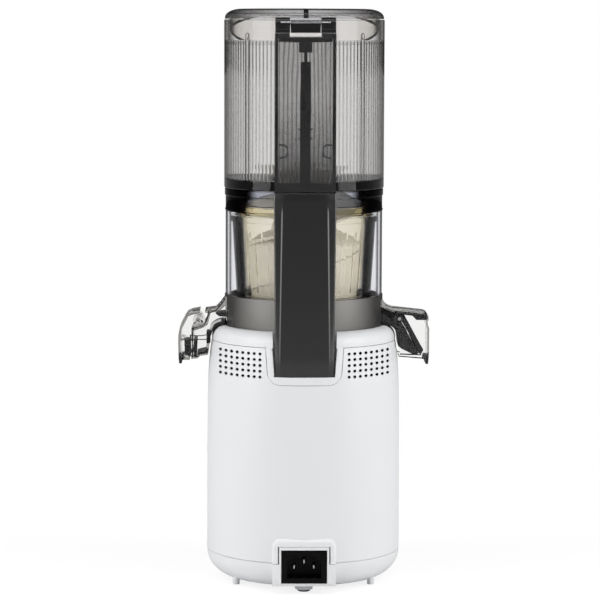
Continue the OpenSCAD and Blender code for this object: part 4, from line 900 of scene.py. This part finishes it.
def spouts():
    rounded("juice_nozzle", "juice_spout", 0.3, "bowl_set", "clear_spout")
    rounded("juice_nozzle_cap", "juice_cap", 0.4, "spout_cap", "clear_spout")
    rounded("pulp_hood", "pulp_cover", 0.3, "bowl_set", "clear_spout")
    rounded("pulp_channel", "pulp_chute", 0.3, "bowl_set", "dark_plastic")
    rounded("flap_blade", "pulp_flap", 0.4, "flap", "black_rubber")
    piece("nozzle_seals", nozzle_seals(), "bowl_set", "black_rubber", ["spout_packing"])
    piece("hood_trim", hood_trim(), "bowl_set", "clear_spout", finish="black_rubber")
    piece("cap_lip", cap_lip(), "spout_cap", "clear_spout", finish="black_rubber")


# ---------- Hopper and lid ----------

HOPPER_WALL = 2.5
FLUTES = 112
FLUTE_SIDES = 6
FLUTE_DEPTH = 0.6
PLAIN_RIM_H = 15
# The slot at the hopper's rear edge for the lid's finger loop
LOOP_SLOT_HALF_W = 10.9
LOOP_SLOT_FOOT_Z = 389.6
LOOP_SLOT_FROM_Y = 30
LOOP_SLOT_TO_Y = 70
RIB_X = 39.6
RIB_R = 1.1
RIB_BELOW_RIM = 9.4
# Radius of the dark wires of painted shade along the ribs
RIB_SHADE_R = 0.27
HOOK_R = 0.6
HOOK_Y = 60
HOOK_PATH = [(18.6, 314.1), (14.6, 314.3), (12.2, 312.0), (12, 308.5), (14, 305.8), (18.2, 305.1)]
EARS_FROM_Y = 59.2
EARS_TO_Y = 59.8
EAR_OUTLINE = [(-5.6, 325.4), (-3.6, 323.7), (-3.3, 319.9), (-5.4, 317.9), (5.4, 317.9), (3.3, 319.9),
               (3.6, 323.7), (5.6, 325.4)]
SPIGOT_STEP = 3.9
SPIGOT_WALL = 2.2
HOPPER_FOOT_H = 6.5
FUNNEL_R = 38
DUCT_RAIL = ((10.95, 63.2, 387.2), (19, 65.4, 391))
HINGE_BAR_R = 0.5
HINGE_BAR_START = Vector((10.9, 65.6, 398.4))
HINGE_BAR_END = Vector((17.2, 65.6, 398.4))
SKIRT_WALL = 1.5
# The slanted edge of the lid's skirt: its height in the middle, its rise per millimetre, its two ends
SKIRT_MIDDLE_Z = 392.4
SKIRT_SLOPE = 0.2475
SKIRT_LOWEST_Z = 382.6
SKIRT_HIGHEST_Z = 402.9
LIP_LEAST_R = 0.12
LIP_THICKENING = 0.75
LIP_THICKENS_FROM = 0.6
LIP_THICKENS_OVER = 0.25
# Painted shade: a dark fill inside the lid's finger loop, as a box by two corners, and a dark sheet on the
# loop's back
LOOP_SHADE_BOX = ((-9.2, 64.4, 391.4), (9.2, 65.1, 395.5))
BACK_SHADE_HALF_W = 10.3
BACK_SHADE_FOOT_Z = 391.2
BACK_SHADE_TOP_Z = 397.2
BACK_SHADE_THICK = 0.3
# The lid's mesh is its finger loop below this height and this near to its middle
LOOP_TOP_Z = 396
LOOP_HALF_W = 11
# The round edge of the lid's dome, as the post's top follows it
DOME_EDGE_Y = 45
DOME_EDGE_W = 11.5
DOME_EDGE_H = 6.1
# The post's two sides, and its underside as (y, depth below the lid's top) points
POST_SIDES = (-2, 1.3)
POST_FOOT = 7
POST_UNDERSIDE = [(54.5, POST_FOOT), (54, 5), (48, 2.5)]


def fluted_tube(outer_r, inner_r, low_z, flute_top_z, top_z):
    """A tube whose inner wall has rounded upright flutes from its foot to flute_top_z."""
    lip = 0.4
    levels = [(inner_r, low_z, FLUTE_DEPTH), (inner_r, flute_top_z - lip, FLUTE_DEPTH),
              (inner_r, flute_top_z, FLUTE_DEPTH), (inner_r, flute_top_z + lip, 0),
              (inner_r, flute_top_z + 2 * lip, 0), (inner_r, top_z - 2 * lip, 0), (inner_r, top_z - lip, 0),
              (inner_r + lip, top_z, 0), (outer_r - lip, top_z, 0), (outer_r, top_z - lip, 0),
              (outer_r, low_z + lip, 0), (outer_r - lip, low_z, 0)]
    bm = bmesh.new()
    ring = bmesh.ops.create_circle(bm, segments=FLUTES * FLUTE_SIDES, radius=MM)["verts"]
    edges = list(bm.edges)
    first = list(edges)
    for level, (radius, z, ripple) in enumerate(levels):
        if level:
            grown = bmesh.ops.extrude_edge_only(bm, edges=edges)["geom"]
            ring = [g for g in grown if isinstance(g, bmesh.types.BMVert)]
            edges = [g for g in grown if isinstance(g, bmesh.types.BMEdge)
                     and all(v in ring for v in g.verts)]
        for v in ring:
            a = math.atan2(v.co.y, v.co.x)
            r = radius - ripple * (1 - abs(math.sin(a * FLUTES / 2)))
            v.co = (r * MM * math.cos(a), r * MM * math.sin(a), z * MM)
    bmesh.ops.bridge_loops(bm, edges=first + edges)
    bmesh.ops.recalc_face_normals(bm, faces=bm.faces)
    return bm


def hopper_shape(outer_r, inner_r, low_z, top_z):
    """The fluted tube with a slot at its rear edge for the lid's finger loop."""
    tube = fluted_tube(outer_r, inner_r, low_z, top_z - PLAIN_RIM_H, top_z)
    return cut(tube, block((-LOOP_SLOT_HALF_W, LOOP_SLOT_FROM_Y, LOOP_SLOT_FOOT_Z),
                           (LOOP_SLOT_HALF_W, LOOP_SLOT_TO_Y, top_z + 1)))


def upright_ribs(inner_r, low_z, top_z):
    """Two upright ribs with rounded tops on the inner wall."""
    rib_y = math.sqrt((inner_r - 0.9) ** 2 - RIB_X ** 2)
    heights = [low_z, top_z - 1.1, top_z - 0.7, top_z - 0.3, top_z - 0.1, top_z]
    radii = [RIB_R, RIB_R, 1.0, 0.75, 0.5, 0.1]
    return together(*[wire([(side * RIB_X, rib_y, z) for z in heights], radii, 16) for side in SIDES])


def rib_edge_shade(inner_r, low_z, top_z):
    """Painted shade: dark wires along both sides and over the top of each clear rib."""
    wires = []
    for side in SIDES:
        path = []
        for off, height in ((-RIB_R, low_z), (-RIB_R, top_z - 1.2), (-0.8, top_z - 0.4), (0, top_z),
                            (0.8, top_z - 0.4), (RIB_R, top_z - 1.2), (RIB_R, low_z)):
            x = RIB_X + off
            path.append((side * x, math.sqrt((inner_r - 1.3) ** 2 - x * x), height))
        wires.append(wire(path, RIB_SHADE_R))
    return together(*wires)


def rod_ears():
    """Ears on both sides of the interlock rod."""
    return slab(EAR_OUTLINE, EARS_FROM_Y, EARS_TO_Y)


def duct_hooks():
    """Two dark hooks that hold the duct's cover."""
    return together(*[wire([(side * x, HOOK_Y, z) for x, z in HOOK_PATH], HOOK_R) for side in SIDES])


def duct_rails():
    """Dark rails on both sides of the slot, at the top of the duct."""
    return block_pair(*DUCT_RAIL)


def hinge_bars():
    """Thin bars that show between the hinge's knuckles."""
    return together(*[rod(HINGE_BAR_R, HINGE_BAR_START * Vector((side, 1, 1)),
                          HINGE_BAR_END * Vector((side, 1, 1))) for side in SIDES])


def hopper():
    low, high = span("hopper")
    outer_r = high.x
    inner_r = outer_r - HOPPER_WALL
    piece("hopper_tube", hopper_shape(outer_r, inner_r, low.z, high.z), "hopper_set",
          "smoked_hopper", ["hopper"])
    rib_foot_z, rib_top_z = low.z + 0.1, high.z - RIB_BELOW_RIM
    piece("hopper_ribs", upright_ribs(inner_r, rib_foot_z, rib_top_z), "hopper_set",
          "smoked_hopper", finish="rib_plastic")
    piece("rib_edge_shade", rib_edge_shade(inner_r, rib_foot_z, rib_top_z), "hopper_set",
          "smoked_hopper", finish="dark_plastic")
    piece("duct_hooks", duct_hooks(), "hopper_set", "smoked_duct", finish="dark_plastic")
    piece("rod_ears", rod_ears(), "upper_rod", "dark_plastic")
    foot_low, foot_high = span("hopper_base")
    shoulder_z = foot_high.z - HOPPER_FOOT_H
    spigot_r = outer_r - SPIGOT_STEP
    spigot_inner_r = spigot_r - SPIGOT_WALL
    piece("hopper_foot", turned([
        (spigot_inner_r, shoulder_z - 0.4), (spigot_r, shoulder_z - 0.4), (spigot_r, shoulder_z),
        (outer_r - 0.4, shoulder_z), (outer_r, shoulder_z + 0.4), (outer_r, foot_high.z),
        (inner_r, foot_high.z), (FUNNEL_R, shoulder_z + 1.5), (FUNNEL_R, shoulder_z - 0.5)
    ]), "hopper_set", "smoked_duct", ["hopper_base"], "hopper_foot_plastic")
    piece("hopper_spigot", turned([
        (spigot_inner_r, foot_low.z + 0.4), (spigot_inner_r + 0.4, foot_low.z),
        (spigot_r - 0.5, foot_low.z), (spigot_r, foot_low.z + 0.5), (spigot_r, shoulder_z - 0.45),
        (spigot_inner_r, shoulder_z - 0.45)
    ]), "hopper_set", "smoked_duct", finish="spigot_plastic")
    rounded("duct_cover", "hopper_duct", 0.5, "hopper_set", "smoked_duct")
    piece("duct_rails", duct_rails(), "hopper_set", "smoked_duct", finish="dark_plastic")
    rounded("hinge_knuckles", "hinge_bracket", 0.5, "hopper_set", "dark_plastic")
    piece("hinge_bars", hinge_bars(), "hopper_set", "dark_plastic", finish="shaft_steel")
    rounded("interlock_rod", "push_rod", 0.4, "upper_rod", "dark_plastic")


def skirt_foot_z(y):
    """Height of the lower edge of the lid's skirt: it rises towards the hinge."""
    return min(max(SKIRT_MIDDLE_Z + SKIRT_SLOPE * y, SKIRT_LOWEST_Z), SKIRT_HIGHEST_Z)


def lid_skirt():
    """A thin ring under the lid, cut off at a slant."""
    high = span("lid_liner")[1]
    inner_r = high.x - SKIRT_WALL
    sections = []
    for k in range(160):
        x, y = math.cos(math.tau * k / 160), math.sin(math.tau * k / 160)
        sections.append([(high.x * x, high.x * y, high.z), (inner_r * x, inner_r * y, high.z),
                         (inner_r * x, inner_r * y, skirt_foot_z(inner_r * y)),
                         (high.x * x, high.x * y, skirt_foot_z(high.x * y))])
    return lofted(sections, closed=True)


def skirt_lip():
    """Lip along the slanted lower edge of the lid's skirt, thickest at its sides."""
    middle_r = span("lid_liner")[1].x - SKIRT_WALL / 2
    path, radii = [], []
    for k in range(96):
        a = math.tau * k / 96
        y = middle_r * math.sin(a)
        path.append((middle_r * math.cos(a), y, skirt_foot_z(y)))
        t = min(1, max(0, (abs(math.cos(a)) - LIP_THICKENS_FROM) / LIP_THICKENS_OVER))
        radii.append(LIP_LEAST_R + LIP_THICKENING * t * t * (3 - 2 * t))
    return wire(path, radii, 10, closed=True)


def lid_post():
    """The dark post in the middle of the lid's rear edge, flush with the dome."""
    top_z = span("lid")[1].z
    top = [(DOME_EDGE_Y + DOME_EDGE_W * math.cos(a), top_z - DOME_EDGE_H + DOME_EDGE_H * math.sin(a))
           for a in (math.radians(90 - 9 * k) for k in range(10))]
    underside = [(top[-1][0], POST_FOOT)] + POST_UNDERSIDE
    section = top + [(y, top_z - depth) for y, depth in underside]
    return lofted([[(x, y, z) for y, z in section] for x in POST_SIDES])


def finger_back_shade():
    """Painted shade: a thin dark sheet on the rear face of the lid's finger loop."""
    verts = [v.co / MM for v in frame["nodes"]["lid"].data.vertices]
    back_shade_y = max(v.y for v in verts if v.z < LOOP_TOP_Z and abs(v.x) < LOOP_HALF_W)
    return block((-BACK_SHADE_HALF_W, back_shade_y, BACK_SHADE_FOOT_Z), (BACK_SHADE_HALF_W, back_shade_y + BACK_SHADE_THICK, BACK_SHADE_TOP_Z))


def lid():
    rounded("lid_dome", "lid", 0.3, "lid_set", "smoked_lid")
    # Painted shade: a dark fill inside the finger loop, and a dark sheet on its back
    piece("finger_loop_shade", block(*LOOP_SHADE_BOX), "lid_set", "smoked_lid", finish="dark_plastic")
    piece("finger_back_shade", finger_back_shade(), "lid_set", "smoked_lid", finish="dark_plastic")
    piece("lid_post", lid_post(), "lid_set", "smoked_lid", finish="dark_plastic")
    piece("lid_skirt", lid_skirt(), "lid_set", "smoked_hopper", ["lid_liner"], "skirt_plastic")
    piece("lid_skirt_lip", skirt_lip(), "lid_set", "smoked_hopper", finish="dark_plastic")


# ---------- Studio, in metres ----------

CAMERA_PLACE = Vector((0.0026, 1.8929, 0.3945))
CAMERA_TILT = 5.86
CAMERA_TURN = -0.7
CAMERA_ROLL = 0.17
FOCAL_PIXELS = 2650
PICTURE_PIXELS = 600
LIGHT_BOUNCES = 24
# Each lamp's place, what it is aimed at, its size, its power in watts and whether only gloss shows it
LAMPS = {
    "left_softbox": ((1.57, 0.77, 0.75), (0, 0, 0.2), (1.0, 1.7), 17, False),
    "right_softbox": ((-1.57, 0.77, 0.75), (0, 0, 0.2), (1.0, 1.7), 17, False),
    "top_softbox": ((0, 0.5, 1.6), (0, 0, 0.2), (1.2, 0.8), 5, False),
    "rear_strip": ((0, 1.5, 1.35), (0, 0, 0.35), (2.4, 0.12), 9, True),
}

# Strength of the room as light and as mirrored by the surfaces, towards the front and to the sides
FILL_FRONT = 0.12
FILL_SIDE = 0.74
MIRROR_FRONT = 0.25
MIRROR_SIDE = 0.8
MIRROR_BEHIND = 0.15
# Strength of the room as seen through clear plastic, to the sides, above and towards the front
THROUGH_SIDE = 0.12
THROUGH_TOP = 0.3
THROUGH_FRONT = 0.1
# The floor's paper: its grey as light meets it, its grey and glow as seen, and where it ends in white
PAPER_GREY = 0.8
PAPER_DIM = 0.25
PAPER_GLOW = 0.82
PAPER_FROM = 0.2
PAPER_TO = 0.5


def turn_about(axis, degrees):
    return Matrix.Rotation(math.radians(degrees), 3, axis)


def camera():
    data = bpy.data.cameras.new("camera")
    data.sensor_width = 36
    data.lens = FOCAL_PIXELS * data.sensor_width / PICTURE_PIXELS
    data.clip_end = 100
    made = bpy.data.objects.new("camera", data)
    made.location = turn_about("Z", CAMERA_TURN) @ CAMERA_PLACE
    facing = turn_about("Z", 180 + CAMERA_TURN) @ turn_about("X", 90 - CAMERA_TILT)
    made.rotation_euler = (facing @ turn_about("Z", CAMERA_ROLL)).to_euler()
    scene.collection.objects.link(made)
    scene.camera = made


def soft_lamp(name, place, target, size, power, glossy_only):
    data = bpy.data.lights.new(name, "AREA")
    data.shape = "RECTANGLE"
    data.size, data.size_y = size
    data.energy = power
    made = bpy.data.objects.new(name, data)
    made.location = place
    aim = Vector(target) - Vector(place)
    made.rotation_euler = aim.to_track_quat("-Z", "Y").to_euler()
    made.visible_camera = False
    made.visible_transmission = False
    made.visible_diffuse = not glossy_only
    scene.collection.objects.link(made)


def choose(tree, when, otherwise, then):
    """One of two values, as another is 0 or 1."""
    inputs = {"Factor": when, "A": otherwise, "B": then}
    return add_node(tree, "ShaderNodeMix", inputs, data_type="FLOAT").outputs["Result"]


def studio_world():
    """A white backdrop behind a room with bright sides and a dim front."""
    world = bpy.data.worlds.new("studio")
    scene.world = world
    world.use_nodes = True
    tree = world.node_tree
    tree.nodes.clear()
    direction = add_node(tree, "ShaderNodeTexCoord").outputs["Generated"]
    parts = add_node(tree, "ShaderNodeSeparateXYZ", {0: direction}).outputs
    sideways = maths(tree, "ABSOLUTE", parts["X"])
    lighting = map_range(tree, sideways, 0, 1, FILL_FRONT, FILL_SIDE)
    mirrored = map_range(tree, sideways, 0, 1, MIRROR_FRONT, MIRROR_SIDE)
    behind = map_range(tree, parts["Y"], -0.4, 0, MIRROR_BEHIND, 1)
    mirrored = maths(tree, "MULTIPLY", mirrored, behind)
    through = map_range(tree, sideways, 0.25, 0.7, 1, THROUGH_SIDE)
    for dimmed in (map_range(tree, parts["Z"], 0.15, 0.6, 1, THROUGH_TOP),
                   map_range(tree, parts["Y"], -0.3, 0.2, 1, THROUGH_FRONT)):
        through = maths(tree, "MULTIPLY", through, dimmed)
    rays = add_node(tree, "ShaderNodeLightPath").outputs
    level = choose(tree, rays["Is Glossy Ray"], lighting, mirrored)
    level = choose(tree, rays["Is Transmission Ray"], level, through)
    level = choose(tree, rays["Is Camera Ray"], level, 1)
    background = add_node(tree, "ShaderNodeBackground", {"Color": WHITE, "Strength": level})
    add_node(tree, "ShaderNodeOutputWorld", {"Surface": background.outputs[0]})


def paper(tree, grey):
    return add_node(tree, "ShaderNodeBsdfDiffuse", {"Color": (grey, grey, grey, 1)}).outputs[0]


def glow(tree, strength):
    return add_node(tree, "ShaderNodeEmission", {"Strength": strength}).outputs[0]


def studio_floor():
    """White paper that shows a soft shadow near the object and runs into the backdrop."""
    bm = bmesh.new()
    bmesh.ops.create_grid(bm, x_segments=1, y_segments=1, size=20)
    floor = as_object(bm, "floor")
    material = bpy.data.materials.new("floor_paper")
    material.use_nodes = True
    tree = material.node_tree
    tree.nodes.clear()
    lifted = add_node(tree, "ShaderNodeAddShader", {0: paper(tree, PAPER_DIM), 1: glow(tree, PAPER_GLOW)})
    distance = vector_maths(tree, "LENGTH", object_place(tree), result="Value")
    far = map_range(tree, distance, PAPER_FROM, PAPER_TO)
    seen = mix_shaders(tree, far, lifted.outputs[0], glow(tree, 1))
    rays = add_node(tree, "ShaderNodeLightPath").outputs
    direct = maths(tree, "MAXIMUM", rays["Is Camera Ray"], rays["Is Transmission Ray"])
    surface = mix_shaders(tree, direct, paper(tree, PAPER_GREY), seen)
    add_node(tree, "ShaderNodeOutputMaterial", {"Surface": surface})
    floor.data.materials.append(material)


def studio():
    camera()
    studio_world()
    studio_floor()
    for name, settings in LAMPS.items():
        soft_lamp(name, *settings)
    scene.view_settings.view_transform = "Standard"
    scene.cycles.max_bounces = LIGHT_BOUNCES
    scene.cycles.transmission_bounces = LIGHT_BOUNCES
    scene.cycles.transparent_max_bounces = LIGHT_BOUNCES
    scene.cycles.use_denoising = True


finish_cad_nodes()
white_casings()
mains_inlet()
bowl()
spouts()
hopper()
lid()
studio()
